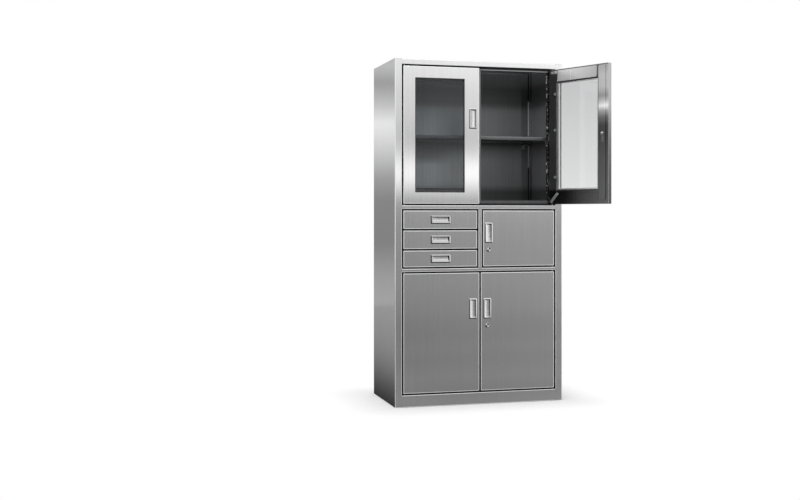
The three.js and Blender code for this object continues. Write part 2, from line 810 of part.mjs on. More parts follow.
// Glass door: folded frame with a window, a pane behind it and a retainer that closes the back
function glassDoor(door, angle, lockName) {
  const { z0, z1 } = door;
  const [wx0, wx1] = bandBetween(door, hingeStileWidth, freeStileWidth);
  const wz0 = z0 + glassRailHeight;
  const wz1 = z1 - glassRailHeight;
  const returnBack = doorFront + windowReturn;
  const returnOutline = rectangle(
    wx0 - doorSheet,
    wx1 + doorSheet,
    wz0 - doorSheet,
    wz1 + doorSheet,
    windowCorner + doorSheet,
  );
  const windowOutline = rectangle(wx0, wx1, wz0, wz1, windowCorner);
  const pan = foldedPan(door.x0, door.x1, z0, z1);
  const frame = cut(
    join(pan, alongY(returnOutline, doorFront + doorSheet / 2, returnBack)),
    alongY(windowOutline, doorFront - overcut, returnBack + overcut),
    pullHole(door.handX, door.handZ, pullWidth, pullLength),
    ...lockHoles(door),
    ...pivotHoles(door),
  );

  const [rx0, rx1] = bandBetween(door, retainerHingeWidth, retainerFreeWidth);
  const rz0 = z0 + retainerBottomHeight;
  const rz1 = z1 - retainerTopHeight;
  const paneFront = returnBack + fit;
  const paneBack = paneFront + paneThickness;
  const pane = block(
    Math.min(wx0, rx0) - paneLap,
    Math.max(wx1, rx1) + paneLap,
    paneFront,
    paneBack,
    Math.min(wz0, rz0) - paneLap,
    Math.max(wz1, rz1) + paneLap,
  );

  const edge = doorSheet + fit;
  const plateOutline = rectangle(door.x0 + edge, door.x1 - edge, z0 + edge, z1 - edge, panCorner);
  const plate = alongY(plateOutline, doorBack - doorSheet, doorBack);
  const collar = block(
    rx0 - doorSheet,
    rx1 + doorSheet,
    paneBack + fit,
    doorBack,
    rz0 - doorSheet,
    rz1 + doorSheet,
  );
  const bead = block(
    rx0 - beadWidth,
    rx1 + beadWidth,
    doorBack - doorSheet,
    doorBack + beadRise,
    rz0 - beadWidth,
    rz1 + beadWidth,
  );
  const { body: stile, hollow } = lockStile(door);
  const meeting = door.hinge < 0 ? [meetingStrip(door)] : [];
  const retainer = cut(
    join(plate, collar, bead, stile, ...meeting),
    hollow,
    block(rx0, rx1, paneBack, doorBack + lockStileRise, rz0, rz1),
    ...lockHoles(door),
  );

  hangDoor(door, angle, [
    [`${door.name}_frame`, frame, brushedSteel],
    [`${door.name}_pane`, pane, clearGlass],
    [`${door.name}_retainer`, retainer, innerSteel],
    ...handPieces(door, lockName, doorBack + lockStileRise + camGap),
  ]);
}

// Panel door: folded skin with an inner panel that closes the back
function panelDoor(door, lockName) {
  const { x0, x1, z0, z1 } = door;
  const skin = cut(
    foldedPan(x0, x1, z0, z1),
    pullHole(door.handX, door.handZ, pullWidth, pullLength),
    ...lockHoles(door),
    ...pivotHoles(door),
  );
  const edge = doorSheet + fit;
  const wall = edge + panCorner;
  const panelOutline = rectangle(x0 + edge, x1 - edge, z0 + edge, z1 - edge, panCorner);
  const returnFront = doorBack - innerPanelReturn;
  const plateFront = doorBack - doorSheet;
  const innerPanel = cut(
    alongY(panelOutline, returnFront, doorBack),
    block(x0 + wall, x1 - wall, returnFront - overcut, plateFront, z0 + wall, z1 - wall),
    ...lockHoles(door),
  );
  hangDoor(door, 0, [
    [`${door.name}_skin`, skin, brushedSteel],
    [`${door.name}_inner_panel`, innerPanel, innerSteel],
    ...handPieces(door, lockName, panelCamFront),
  ]);
}

const leafLeft = [-openingHalf + doorGap, -doorGap / 2];
const leafRight = [doorGap / 2, openingHalf - doorGap];
const lockerSpan = [partitionHalf + doorGap, openingHalf - doorGap];

const upperRow = [upperBottom, upperTop, glassPullRaise, pullInset];
const middleRow = [middleBottom, middleTop, lockerPullRaise, lockerPullInset];
const lowerRow = [lowerBottom, lowerTop, lowerPullRaise, pullInset];

glassDoor(doorPlan("left_glass_door", -1, ...leafLeft, ...upperRow, false), 0);
glassDoor(doorPlan("right_glass_door", 1, ...leafRight, ...upperRow, true), openAngle, "glass_door_lock");
panelDoor(doorPlan("locker_door", 1, ...lockerSpan, ...middleRow, true), "locker_lock");
panelDoor(doorPlan("lower_left_door", -1, ...leafLeft, ...lowerRow, false));
panelDoor(doorPlan("lower_right_door", 1, ...leafRight, ...lowerRow, true), "lower_door_lock");

// Drawers: a folded front, an open box with side flanges, and a level pull
const drawerNames = ["top_drawer", "middle_drawer", "bottom_drawer"];
const bayLeft = -openingHalf;
const bayRight = -partitionHalf;
const drawerLeft = bayLeft + doorGap;
const drawerRight = bayRight - doorGap;
const boxLeft = bayLeft + runnerReach;
const boxRight = bayRight - runnerReach;
const boxFront = doorBack + fit;
const boxRear = backPanelFront - boxRearGap;
const frontCount = drawerNames.length;
const frontsHeight = middleOpeningHeight - (frontCount + 1) * doorGap;
const tallFront = (frontsHeight + bottomDrawerDrop) / frontCount;
const flangeLevels = [];

drawerNames.forEach((name, i) => {
  const z1 = middleTop - doorGap - i * (tallFront + doorGap);
  const z0 = i < frontCount - 1 ? z1 - tallFront : z1 - tallFront + bottomDrawerDrop;
  const pullX = (drawerLeft + drawerRight) / 2;
  const pullZ = (z0 + z1) / 2;
  const pan = foldedPan(drawerLeft, drawerRight, z0, z1);
  const front = cut(pan, pullHole(pullX, pullZ, pullLength, pullWidth));
  piece(cabinet, `${name}_front`, front, brushedSteel);
  piece(cabinet, `${name}_pull`, placed(doorPull, levelTurn, pullX, pullZ), polishedSteel);

  const bottom = z0 + boxBelow;
  const rim = z1 - boxAbove;
  const flangeZ = (bottom + rim) / 2;
  flangeLevels.push(flangeZ);
  const shell = block(boxLeft, boxRight, boxFront, boxRear, bottom, rim);
  const inside = block(
    boxLeft + boxSheet,
    boxRight - boxSheet,
    boxFront + boxSheet,
    boxRear - boxSheet,
    bottom + boxSheet,
    rim + overcut,
  );
  const flangeLeft = boxLeft - runnerFlange;
  const flangeRight = boxRight + runnerFlange;
  const flange = block(flangeLeft, flangeRight, boxFront, boxRear, flangeZ, flangeZ + boxSheet);
  piece(cabinet, `${name}_box`, cut(join(shell, flange), inside), innerSteel);
});

// Runners: a web with a pair of ledges for each drawer's flange to slide between
function runner(webFrom, ledgeTo, webTo) {
  const yFront = stopBackY + fit;
  const yRear = boxRear;
  const low = Math.min(...flangeLevels) - runnerMargin;
  const high = Math.max(...flangeLevels) + runnerMargin;
  const web = block(Math.min(webFrom, webTo), Math.max(webFrom, webTo), yFront, yRear, low, high);
  const ledges = flangeLevels.flatMap((level) => {
    const lower = level - fit;
    const upper = level + boxSheet + runnerPlay;
    const x0 = Math.min(webFrom, ledgeTo);
    const x1 = Math.max(webFrom, ledgeTo);
    return [
      block(x0, x1, yFront, yRear, lower - runnerThickness, lower),
      block(x0, x1, yFront, yRear, upper, upper + runnerThickness),
    ];
  });
  return join(web, ...ledges);
}

const leftWeb = -wallInner + fit;
const rightWeb = bayRight - fit;
const ledgeLeft = boxLeft - runnerTipGap;
const ledgeRight = boxRight + runnerTipGap;
const leftRunner = runner(leftWeb, ledgeLeft, leftWeb + runnerThickness);
const rightRunner = runner(rightWeb, ledgeRight, rightWeb - runnerThickness);
piece(cabinet, "left_drawer_runner", leftRunner, innerSteel);
piece(cabinet, "right_drawer_runner", rightRunner, innerSteel);

export default cabinet;
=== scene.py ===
import json
import math

import bmesh
import bpy
import numpy as np
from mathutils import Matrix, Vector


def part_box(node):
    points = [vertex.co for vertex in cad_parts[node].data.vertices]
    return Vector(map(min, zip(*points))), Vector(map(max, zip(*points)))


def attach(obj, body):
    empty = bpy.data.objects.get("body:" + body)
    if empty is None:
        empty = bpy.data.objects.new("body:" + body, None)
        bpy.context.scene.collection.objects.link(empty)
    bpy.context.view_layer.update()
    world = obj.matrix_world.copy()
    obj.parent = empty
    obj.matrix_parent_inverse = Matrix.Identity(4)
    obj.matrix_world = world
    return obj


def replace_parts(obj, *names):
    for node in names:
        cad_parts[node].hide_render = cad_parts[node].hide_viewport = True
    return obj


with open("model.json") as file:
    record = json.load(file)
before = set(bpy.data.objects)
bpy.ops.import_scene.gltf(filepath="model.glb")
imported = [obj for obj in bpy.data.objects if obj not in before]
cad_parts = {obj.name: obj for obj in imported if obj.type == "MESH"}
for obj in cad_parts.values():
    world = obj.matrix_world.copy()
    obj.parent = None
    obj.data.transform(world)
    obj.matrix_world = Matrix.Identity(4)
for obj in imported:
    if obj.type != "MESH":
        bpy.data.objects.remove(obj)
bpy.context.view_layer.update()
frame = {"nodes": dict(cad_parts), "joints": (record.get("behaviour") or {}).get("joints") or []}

nodes = frame["nodes"]
joints = {joint["name"]: joint for joint in frame["joints"]}
print("frame loaded with", len(nodes), "nodes")

# Lengths are metres, in the frame's own axes: front of the cabinet towards -Y, floor at z = 0
cabinetLow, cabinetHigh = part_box("left_side_panel")[0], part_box("right_side_panel")[1]
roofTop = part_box("top_panel")[1].z
doorLow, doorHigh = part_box("left_glass_door_frame")
openPivot = np.array(joints["right_glass_door_hinge"]["pos_m"])
openAngle = -math.radians(joints["right_glass_door_hinge"]["range_deg"][0])
hairGap = 0.0001              # between a new piece and what it lies against


# Direction on a shut door, as it points on the open one: x' = x cos - y sin, y' = x sin + y cos
def turnedOpen(direction):
    x, y, z = direction
    cosine, sine = math.cos(openAngle), math.sin(openAngle)
    return cosine * x - sine * y, sine * x + cosine * y, z


# Directions and points of a shut door stay as they are
def asShut(value):
    return value


shutFront, shutBack = (0, -1, 0), (0, 1, 0)
openFront = turnedOpen(shutFront)
openFree = turnedOpen((-1, 0, 0))  # from the hinge to the free edge


# Camera: the photograph's own view, level, with the horizon raised by a vertical shift
view = {
    "place": (-1.83313, -5.51654, 0.98522),
    "yaw": 0.2604,            # radians to the right of +Y
    "lens": 49.27,
    "sensor": 36.0,
    "horizonRow": 211.0,      # of 500 rows
    "frameSize": (800, 500),
}


def makeCamera():
    data = bpy.data.cameras.new("photoCamera")
    data.lens = view["lens"]
    data.sensor_width = view["sensor"]
    data.sensor_fit = "HORIZONTAL"
    wide, high = view["frameSize"]
    data.shift_y = (view["horizonRow"] - high / 2) / wide
    camera = bpy.data.objects.new("photoCamera", data)
    camera.location = view["place"]
    camera.rotation_euler = (math.pi / 2, 0, -view["yaw"])
    bpy.context.collection.objects.link(camera)
    bpy.context.scene.camera = camera


makeCamera()
print("camera set")


# Small helpers for node trees
white = (1, 1, 1, 1)
mixSockets = {"FLOAT": (2, 3, 0), "RGBA": (6, 7, 2)}  # of a Mix node: first, second and result


def grey(tone):
    return tone, tone, tone, 1


def newMaterial(name):
    material = bpy.data.materials.new(name)
    material.use_nodes = True
    material.node_tree.nodes.clear()
    return material, material.node_tree


def addNode(tree, kind, **settings):
    node = tree.nodes.new(kind)
    for key, value in settings.items():
        setattr(node, key, value)
    return node


def plug(tree, value, socket):
    if isinstance(value, bpy.types.NodeSocket):
        tree.links.new(value, socket)
    else:
        socket.default_value = value


def calculate(tree, operation, first, second=0.0):
    node = addNode(tree, "ShaderNodeMath", operation=operation)
    plug(tree, first, node.inputs[0])
    plug(tree, second, node.inputs[1])
    return node.outputs[0]


def product(tree, *values):
    result = values[0]
    for value in values[1:]:
        result = calculate(tree, "MULTIPLY", result, value)
    return result


def sumOfSquares(tree, first, second):
    return calculate(tree, "ADD", product(tree, first, first), product(tree, second, second))


# Weighted sum of two values
def blendValues(tree, first, share, second):
    kept = calculate(tree, "MULTIPLY", first, share)
    added = calculate(tree, "MULTIPLY", second, 1.0 - share)
    return calculate(tree, "ADD", kept, added)


# Value moved from one range to another, held at the ends
def remap(tree, value, fromLow, fromHigh, toLow=0.0, toHigh=1.0):
    node = addNode(tree, "ShaderNodeMapRange", clamp=True)
    for socket, number in zip(node.inputs[1:5], (fromLow, fromHigh, toLow, toHigh)):
        socket.default_value = number
    plug(tree, value, node.inputs[0])
    return node.outputs[0]


def mixAny(tree, kind, factor, first, second, **settings):
    node = addNode(tree, "ShaderNodeMix", data_type=kind, **settings)
    firstSocket, secondSocket, result = mixSockets[kind]
    plug(tree, factor, node.inputs[0])
    plug(tree, first, node.inputs[firstSocket])
    plug(tree, second, node.inputs[secondSocket])
    return node.outputs[result]


def mixValues(tree, factor, first, second):
    return mixAny(tree, "FLOAT", factor, first, second)


def mixColours(tree, factor, first, second):
    return mixAny(tree, "RGBA", factor, first, second)


def scaleColour(tree, first, second):
    return mixAny(tree, "RGBA", 1.0, first, second, blend_type="MULTIPLY")


# Tone that follows a value, through stops of (value, tone)
def rampAlong(tree, value, stops):
    low, high = stops[0][0], stops[-1][0]
    node = addNode(tree, "ShaderNodeValToRGB")
    elements = node.color_ramp.elements
    while len(elements) < len(stops):
        elements.new(1.0)
    for element, (place, tone) in zip(elements, stops):
        element.position = (place - low) / (high - low)
        element.color = grey(tone)
    plug(tree, remap(tree, value, low, high), node.inputs[0])
    return node.outputs[0]


def objectPlace(tree):
    return addNode(tree, "ShaderNodeTexCoord").outputs["Object"]


def splitPlace(tree, place):
    node = addNode(tree, "ShaderNodeSeparateXYZ")
    plug(tree, place, node.inputs[0])
    return node.outputs


def vectorMath(tree, operation, first, second):
    node = addNode(tree, "ShaderNodeVectorMath", operation=operation)
    plug(tree, first, node.inputs[0])
    plug(tree, second, node.inputs[1])
    return node.outputs


# Cosine of the angle between a face and a direction, both in the piece's own axes
def facing(tree, direction):
    normal = addNode(tree, "ShaderNodeTexCoord").outputs["Normal"]
    return vectorMath(tree, "DOT_PRODUCT", normal, direction)["Value"]


# Distance from a start along a direction
def distanceAlong(tree, place, start, direction):
    offset = vectorMath(tree, "SUBTRACT", place, start)["Vector"]
    return vectorMath(tree, "DOT_PRODUCT", offset, direction)["Value"]


# Distance from the open door's hinge, along the door
def fromHinge(tree, place):
    return distanceAlong(tree, place, openPivot, openFree)


# Noise on stretched Object coordinates
def stretchedNoise(tree, place, scale, detail=3.0, roughness=0.55):
    mapping = addNode(tree, "ShaderNodeMapping")
    mapping.inputs["Scale"].default_value = scale
    plug(tree, place, mapping.inputs["Vector"])
    noise = addNode(tree, "ShaderNodeTexNoise")
    noise.inputs["Scale"].default_value = 1.0
    noise.inputs["Detail"].default_value = detail
    noise.inputs["Roughness"].default_value = roughness
    plug(tree, mapping.outputs[0], noise.inputs["Vector"])
    return noise.outputs["Fac"]


def showSurface(tree, shader):
    output = addNode(tree, "ShaderNodeOutputMaterial")
    tree.links.new(shader.outputs[0], output.inputs["Surface"])


# Principled surface, with a bump of (strength, distance) that follows a height
def finishSurface(tree, colour, rough, metal=0.0, height=None, bump=None):
    shader = addNode(tree, "ShaderNodeBsdfPrincipled")
    for name, value in (("Base Color", colour), ("Roughness", rough), ("Metallic", metal)):
        plug(tree, value, shader.inputs[name])
    if bump:
        dents = addNode(tree, "ShaderNodeBump")
        dents.inputs["Strength"].default_value, dents.inputs["Distance"].default_value = bump
        plug(tree, height, dents.inputs["Height"])
        tree.links.new(dents.outputs[0], shader.inputs["Normal"])
    showSurface(tree, shader)
    return shader


# Brushed sheet: fine upright grain in colour, roughness and bump, and reflections drawn out
# across the grain. Rounded folds get a painted highlight in their colour, and inside the carcass the sheet
# is dull and darkened with painted shade.
brushed = {
    "roughness": (0.12, 0.16),
    "grain": (900.0, 900.0, 6.0),
    "streaks": (140.0, 140.0, 1.2),
    "clouds": (2.2, 2.2, 2.2),
    "coarse": 2.0,            # detail of the streaks and clouds
    "lineShare": 0.5,         # of the grain in the lines, where the rest is streaks
    "wearShare": 0.6,         # of the grain in the wear, where the rest is clouds
    "spread": (0.35, 0.65),   # span of a blended noise that makes the whole change
    "bump": (0.02, 0.0003),
    "anisotropy": 0.9,
    # Painted highlight: the rounded folds take a pale, rougher, less metallic colour for the light they
    # catch
    "foldColour": (0.95, 0.95, 0.95, 1),
    "foldRoughness": 0.55,
    "foldMetal": 0.6,
    "foldLean": (0.985, 0.998),  # cosines between which a face counts as leaning
    "foldFacing": (0.78, 0.9),   # cosines to the front between which a fold takes the painted highlight
    "sideFacing": (0.9, 0.97),   # and those between which a door's edge stops being painted dark
    # Painted shade: a door's edges, and the rim beside them, are dark as the shade in the gaps
    "sideColour": (0.08, 0.08, 0.082, 1),
    "rimColour": (0.04, 0.04, 0.042, 1),
    "edgeBand": (0.0022, 0.0056),   # from a door's edge, where the painted highlight lies
    "rimSoft": 0.0004,
    "bandSoft": 0.0006,
}

# Back of the carcass: seams beside the rear flanges that lap over the back sheet, and spot welds
backSheet = {
    "flangeDepth": 0.0021,
    "flangeWidth": 0.02,
    "seamWidth": 0.0012,
    "weldPitch": 0.09,
    "weldRadius": 0.0035,
    "weldShare": 0.6,         # of the mark's colour in a weld
    "markColour": (0.22, 0.22, 0.222, 1),
}

# Inside of the carcass: dull sheet, its dark tone partly painted shade, and dark flanks round the doors
# painted as the shade in the gaps
inner = {
    "pale": (0.26, 0.265, 0.27, 1),
    "deep": (0.2, 0.205, 0.21, 1),
    "shade": [                # (height, share of the tone): painted shade and light by height
        (1.0, 0.55), (1.04, 0.55), (1.06, 0.45), (1.09, 0.4), (1.13, 1.0), (1.26, 1.1), (1.315, 0.95),
        (1.36, 0.5), (1.375, 1.15), (1.475, 1.15), (1.525, 1.1), (1.545, 0.98), (1.565, 0.6), (1.585, 0.42),
        (1.635, 0.4), (1.66, 0.5), (1.7, 1.2), (1.745, 2.0),
    ],
    "leftShade": [            # (height, further share of it left of the middle): painted light and shade by height
        (1.0, 1.6), (1.03, 1.8), (1.14, 1.8), (1.235, 1.7), (1.258, 1.15), (1.283, 0.8), (1.332, 0.9),
        (1.36, 1.2), (1.4, 2.0), (1.43, 2.0), (1.48, 1.8), (1.53, 1.55), (1.57, 1.3), (1.66, 1.25),
        (1.745, 1.5),
    ],
    "leftFade": (-0.12, 0.0),  # x between which that share ends
    "sideShare": 1.5,         # of the tone on the side walls: painted light, the side walls lighter
    "sideTurn": (0.5, 0.9),   # cosines between which a face counts as a side wall
    "roughness": 0.42,
    "millRoughness": (0.38, 0.48),
    "metal": 0.8,
    "skin": 0.0006,           # half of the sheet's wall, to tell its two faces apart
    "foldDepth": 0.0045,      # of the rounded folds at the carcass's own corners
    "lipDepth": 0.0009,       # and of those round its openings, as far as they take the painted highlight
    "openingsHalf": 0.43,
    "openingsTop": 1.74,
    # Painted shade: near the front the flanks of the openings are dark, as the shade between doors and
    # carcass
    "gapColour": (0.03, 0.03, 0.032, 1),
    "gapDepth": 0.03,         # behind the front face, of the dark flanks
    "gapSoft": 0.002,
    "stopAcross": (0.01, 0.38),  # x of the stops behind the open door, which don't take the painted shade
    "stopMargin": 0.004,      # above the door's bottom and below its top
    "stopFacing": (0.6, 0.9),
}

# Rear uprights: a line near the corner, a painted highlight in some stretches and painted shade in others
rearLine = {
    "start": (0.4355, 0.4365),  # distances from the middle between which it begins
    "end": (0.4425, 0.4435),
    "tones": [                # (height, tone)
        (1.04, 0.01), (1.222, 0.012), (1.235, 0.6), (1.345, 0.7), (1.352, 0.02), (1.4, 0.02), (1.406, 1.0),
        (1.588, 1.0), (1.6, 0.01), (1.745, 0.01),
    ],
}

# Back of a glass door: satin sheet, painted dark as shade on the side towards the glass. On the open
# door its tone follows the height beside the free edge, and the distance from the hinge along the rails:
# painted light and shade.
doorBack = {
    "pale": (0.62, 0.62, 0.625, 1),
    "deep": (0.54, 0.54, 0.545, 1),
    "glassSide": (0.14, 0.14, 0.142, 1),
    "glassFacing": (0.4, 0.6),
    "metal": 0.6,
    "roughness": (0.2, 0.28),
    "lineTone": 0.92,         # of the darkest lines, on the open door
    "stile": [                # (height, tone) beside the free edge: painted light and shade
        (1.02, 0.11), (1.1, 0.11), (1.25, 0.09), (1.37, 0.05), (1.41, 0.06), (1.45, 0.16),
        (1.48, 0.4), (1.505, 0.95), (1.53, 0.55), (1.555, 0.32), (1.6, 0.52), (1.66, 0.5),
        (1.72, 0.35),
    ],
    "stileStart": (0.33, 0.336),  # distances from the hinge between which it begins
    "topRail": [              # (distance from the hinge, tone): painted light and shade, with a painted dark line of shade at the stile's edge
        (0.02, 0.06), (0.048, 0.06), (0.054, 0.78), (0.12, 0.74), (0.22, 0.6), (0.316, 0.45), (0.321, 0.1),
        (0.33, 0.08),
    ],
    "topStart": (1.645, 1.655),   # heights
    "topLine": (0.0075, 0.005),   # below the door's top, where a painted dark line of shade begins
    "topLineTone": 0.13,
    "bottomRail": [(0.02, 0.008), (0.1, 0.012), (0.2, 0.05), (0.34, 0.1)],
    "bottomEnd": (1.09, 1.1),
    "hingeStile": 0.06,
    "edge": [                 # (height, tone) of the door's free edge: painted light and shade
        (1.02, 0.1), (1.2, 0.13), (1.33, 0.19), (1.41, 0.27), (1.46, 0.34), (1.5, 0.46), (1.72, 0.5),
    ],
    "edgeFacing": (0.5, 0.8),
}


# Share of painted highlight on a fold: how far the face leans away from all three axes, while it
# still looks to the front
def foldShare(tree):
    straightest = 0.0
    for axis in ((1, 0, 0), (0, 1, 0), (0, 0, 1)):
        along = calculate(tree, "ABSOLUTE", facing(tree, axis))
        straightest = calculate(tree, "MAXIMUM", along, straightest)
    lean = remap(tree, straightest, *brushed["foldLean"], 1.0, 0.0)
    return product(tree, lean, remap(tree, facing(tree, shutFront), *brushed["foldFacing"]))


# Share of painted shade on a door's edge: faces turned away from the front and from the back
def sideShare(tree):
    along = calculate(tree, "ABSOLUTE", facing(tree, shutBack))
    return remap(tree, along, *brushed["sideFacing"], 1.0, 0.0)


# Shares of painted shade in a dark rim and of painted highlight in a bright band, by the least distance to
# a front's four edges
def edgeShares(tree, across, z, edges, forward):
    left, right, bottom, top = edges
    least = calculate(tree, "SUBTRACT", across, left)
    for first, second in ((right, across), (z, bottom), (top, z)):
        least = calculate(tree, "MINIMUM", least, calculate(tree, "SUBTRACT", first, second))
    start, end = brushed["edgeBand"]
    paintedRimShade = remap(tree, least, start - brushed["rimSoft"], start + brushed["rimSoft"], 1.0, 0.0)
    near = remap(tree, least, end - brushed["bandSoft"], end, 1.0, 0.0)
    front = remap(tree, facing(tree, forward), *brushed["sideFacing"])
    return product(tree, paintedRimShade, front), product(tree, calculate(tree, "SUBTRACT", near, paintedRimShade), front)


# One on the seams beside the rear flanges and on the spot welds along the flanges' middles.
# A weld is a disc: its radius is the root of the squares across the flange and along the pitch.
def backMarks(tree, x, z):
    halfWidth, flange = cabinetHigh.x, backSheet["flangeWidth"]
    width = calculate(tree, "ABSOLUTE", x)
    offSeam = calculate(tree, "ABSOLUTE", calculate(tree, "SUBTRACT", width, halfWidth - flange))
    seam = calculate(tree, "LESS_THAN", offSeam, backSheet["seamWidth"])
    across = calculate(tree, "SUBTRACT", width, halfWidth - flange / 2)
    along = calculate(tree, "PINGPONG", z, backSheet["weldPitch"] / 2)
    radius = calculate(tree, "SQRT", sumOfSquares(tree, across, along))
    limit = backSheet["weldRadius"]
    weld = remap(tree, radius, limit / 2, limit, backSheet["weldShare"], 0.0)
    behind = remap(tree, facing(tree, shutBack), *brushed["sideFacing"])
    return product(tree, calculate(tree, "MAXIMUM", seam, weld), behind)


# Tone of the dull sheet, paler and darker by height as painted light and shade
def innerTone(tree, tone, z):
    plain = mixColours(tree, tone, inner["deep"], inner["pale"])
    return scaleColour(tree, plain, rampAlong(tree, z, inner["shade"]))


# One where a point lies inside the carcass or on the hidden side of its sheets
def insideCarcass(tree, x, y, z):
    width = calculate(tree, "ABSOLUTE", x)
    amidst = product(
        tree,
        calculate(tree, "LESS_THAN", width, inner["openingsHalf"]),
        calculate(tree, "LESS_THAN", z, inner["openingsTop"]),
    )
    depth = mixValues(tree, amidst, inner["foldDepth"], inner["lipDepth"])
    return product(
        tree,
        calculate(tree, "LESS_THAN", width, cabinetHigh.x - inner["skin"]),
        calculate(tree, "GREATER_THAN", calculate(tree, "SUBTRACT", y, cabinetLow.y), depth),
        calculate(tree, "LESS_THAN", y, cabinetHigh.y - backSheet["flangeDepth"]),
        calculate(tree, "LESS_THAN", z, roofTop - inner["skin"]),
    )


# One on the stops' faces behind the open door
def openStops(tree, x, z):
    left, right = inner["stopAcross"]
    return product(
        tree,
        remap(tree, facing(tree, shutFront), *inner["stopFacing"]),
        calculate(tree, "GREATER_THAN", x, left),
        calculate(tree, "LESS_THAN", x, right),
        calculate(tree, "GREATER_THAN", z, doorLow.z + inner["stopMargin"]),
        calculate(tree, "LESS_THAN", z, doorHigh.z - inner["stopMargin"]),
    )


# Colour inside the carcass: the dull tone with painted light and shade on the sides and on the left, and
# painted dark flanks as shade
def innerColour(tree, x, y, z, tone):
    upright = calculate(tree, "ABSOLUTE", facing(tree, (1, 0, 0)))
    sides = remap(tree, upright, *inner["sideTurn"], 1.0, inner["sideShare"])
    colour = scaleColour(tree, innerTone(tree, tone, z), sides)
    leftward = rampAlong(tree, z, inner["leftShade"])
    faded = mixColours(tree, remap(tree, x, *inner["leftFade"]), leftward, white)
    gapEnd = cabinetLow.y + inner["gapDepth"]
    nearFront = remap(tree, y, gapEnd - inner["gapSoft"], gapEnd, 1.0, 0.0)
    # Painted shade on the flanks near the front, except on the stops behind the open door
    flank = product(tree, nearFront, calculate(tree, "SUBTRACT", 1.0, openStops(tree, x, z)))
    return mixColours(tree, flank, scaleColour(tree, colour, faded), inner["gapColour"])


# Grain, and the lines in which it is blended with streaks
def brushLines(tree, place):
    grain = stretchedNoise(tree, place, brushed["grain"])
    streaks = stretchedNoise(tree, place, brushed["streaks"], brushed["coarse"])
    return grain, blendValues(tree, grain, brushed["lineShare"], streaks)


# A carcass sheet has painted highlights on its folds and a dull inside with painted shade, a shut
# front has painted dark flanks, a painted dark rim and a painted bright band, and the open door's frame has
# the same rim and band and its own painted free edge
def brushedSteel(name, pale, deep, carcass=False, front=None, openDoor=False):
    material, tree = newMaterial(name)
    place = objectPlace(tree)
    x, y, z = splitPlace(tree, place)
    grain, lines = brushLines(tree, place)
    clouds = stretchedNoise(tree, place, brushed["clouds"], brushed["coarse"])
    tone = remap(tree, lines, *brushed["spread"])
    wear = blendValues(tree, grain, brushed["wearShare"], clouds)
    colour = mixColours(tree, tone, deep, pale)
    rough = remap(tree, wear, *brushed["spread"], *brushed["roughness"])
    metal, bright = 1.0, None
    if carcass:
        bright = foldShare(tree)
    elif openDoor:
        edges = (openPivot[0] + doorLow.x, openPivot[0] + doorHigh.x, doorLow.z, doorHigh.z)
        # Painted shade in the rim and painted highlight in the band at the open door's edges
        paintedRimShade, bright = edgeShares(tree, fromHinge(tree, place), z, edges, openFront)
        colour = mixColours(tree, paintedRimShade, colour, brushed["sideColour"])
    elif front:
        low, high = front
        # Painted shade on a shut door's edges, where shade falls in the gaps
        colour = mixColours(tree, sideShare(tree), colour, brushed["sideColour"])
        # Painted shade in a dark rim and painted highlight in a bright band along a front's edges
        paintedRimShade, bright = edgeShares(tree, x, z, (low.x, high.x, low.z, high.z), shutFront)
        colour = mixColours(tree, paintedRimShade, colour, brushed["rimColour"])
    # Painted highlight on the folds and on the band beside a door's edge
    if bright is not None:
        colour = mixColours(tree, bright, colour, brushed["foldColour"])
        rough = mixValues(tree, bright, rough, brushed["foldRoughness"])
        metal = mixValues(tree, bright, 1.0, brushed["foldMetal"])
    # Painted light and shade by height on the open door's free edge
    if openDoor:
        freeEdge = remap(tree, facing(tree, openFree), *doorBack["edgeFacing"])
        colour = mixColours(tree, freeEdge, colour, rampAlong(tree, z, doorBack["edge"]))
    if carcass:
        colour = mixColours(tree, backMarks(tree, x, z), colour, backSheet["markColour"])
        inside = insideCarcass(tree, x, y, z)
        colour = mixColours(tree, inside, colour, innerColour(tree, x, y, z, tone))
        rough = mixValues(tree, inside, rough, inner["roughness"])
        metal = mixValues(tree, inside, metal, inner["metal"])
    shader = finishSurface(tree, colour, rough, metal, lines, brushed["bump"])
    shader.inputs["Anisotropic"].default_value = brushed["anisotropy"]
    tangent = addNode(tree, "ShaderNodeTangent", direction_type="RADIAL", axis="Z")
    tree.links.new(tangent.outputs[0], shader.inputs["Tangent"])
    return material


def doorBackSteel(name, front, paintedShading):
    material, tree = newMaterial(name)
    place = objectPlace(tree)
    z = splitPlace(tree, place)[2]
    lines = brushLines(tree, place)[1]
    tone = remap(tree, lines, *brushed["spread"])
    colour = mixColours(tree, tone, doorBack["deep"], doorBack["pale"])
    # Painted light and shade on the open door's back, by height and by distance from the hinge
    if paintedShading:
        along = fromHinge(tree, place)
        bottom = remap(tree, z, *doorBack["bottomEnd"], 1.0, 0.0)
        top = remap(tree, z, *doorBack["topStart"])
        free = remap(tree, along, *doorBack["stileStart"])
        line = remap(tree, z, *(doorHigh.z - below for below in doorBack["topLine"]))
        shade = grey(doorBack["hingeStile"])
        shade = mixColours(tree, bottom, shade, rampAlong(tree, along, doorBack["bottomRail"]))
        shade = mixColours(tree, top, shade, rampAlong(tree, along, doorBack["topRail"]))
        shade = mixColours(tree, free, shade, rampAlong(tree, z, doorBack["stile"]))
        shade = mixColours(tree, line, shade, grey(doorBack["topLineTone"]))
        colour = scaleColour(tree, mixColours(tree, tone, grey(doorBack["lineTone"]), white), shade)
    # Painted shade: faces towards the glass are dark
    ahead = remap(tree, facing(tree, front), *doorBack["glassFacing"])
    colour = mixColours(tree, ahead, colour, doorBack["glassSide"])
    rough = remap(tree, lines, *brushed["spread"], *doorBack["roughness"])
    finishSurface(tree, colour, rough, doorBack["metal"], lines, brushed["bump"])
    return material


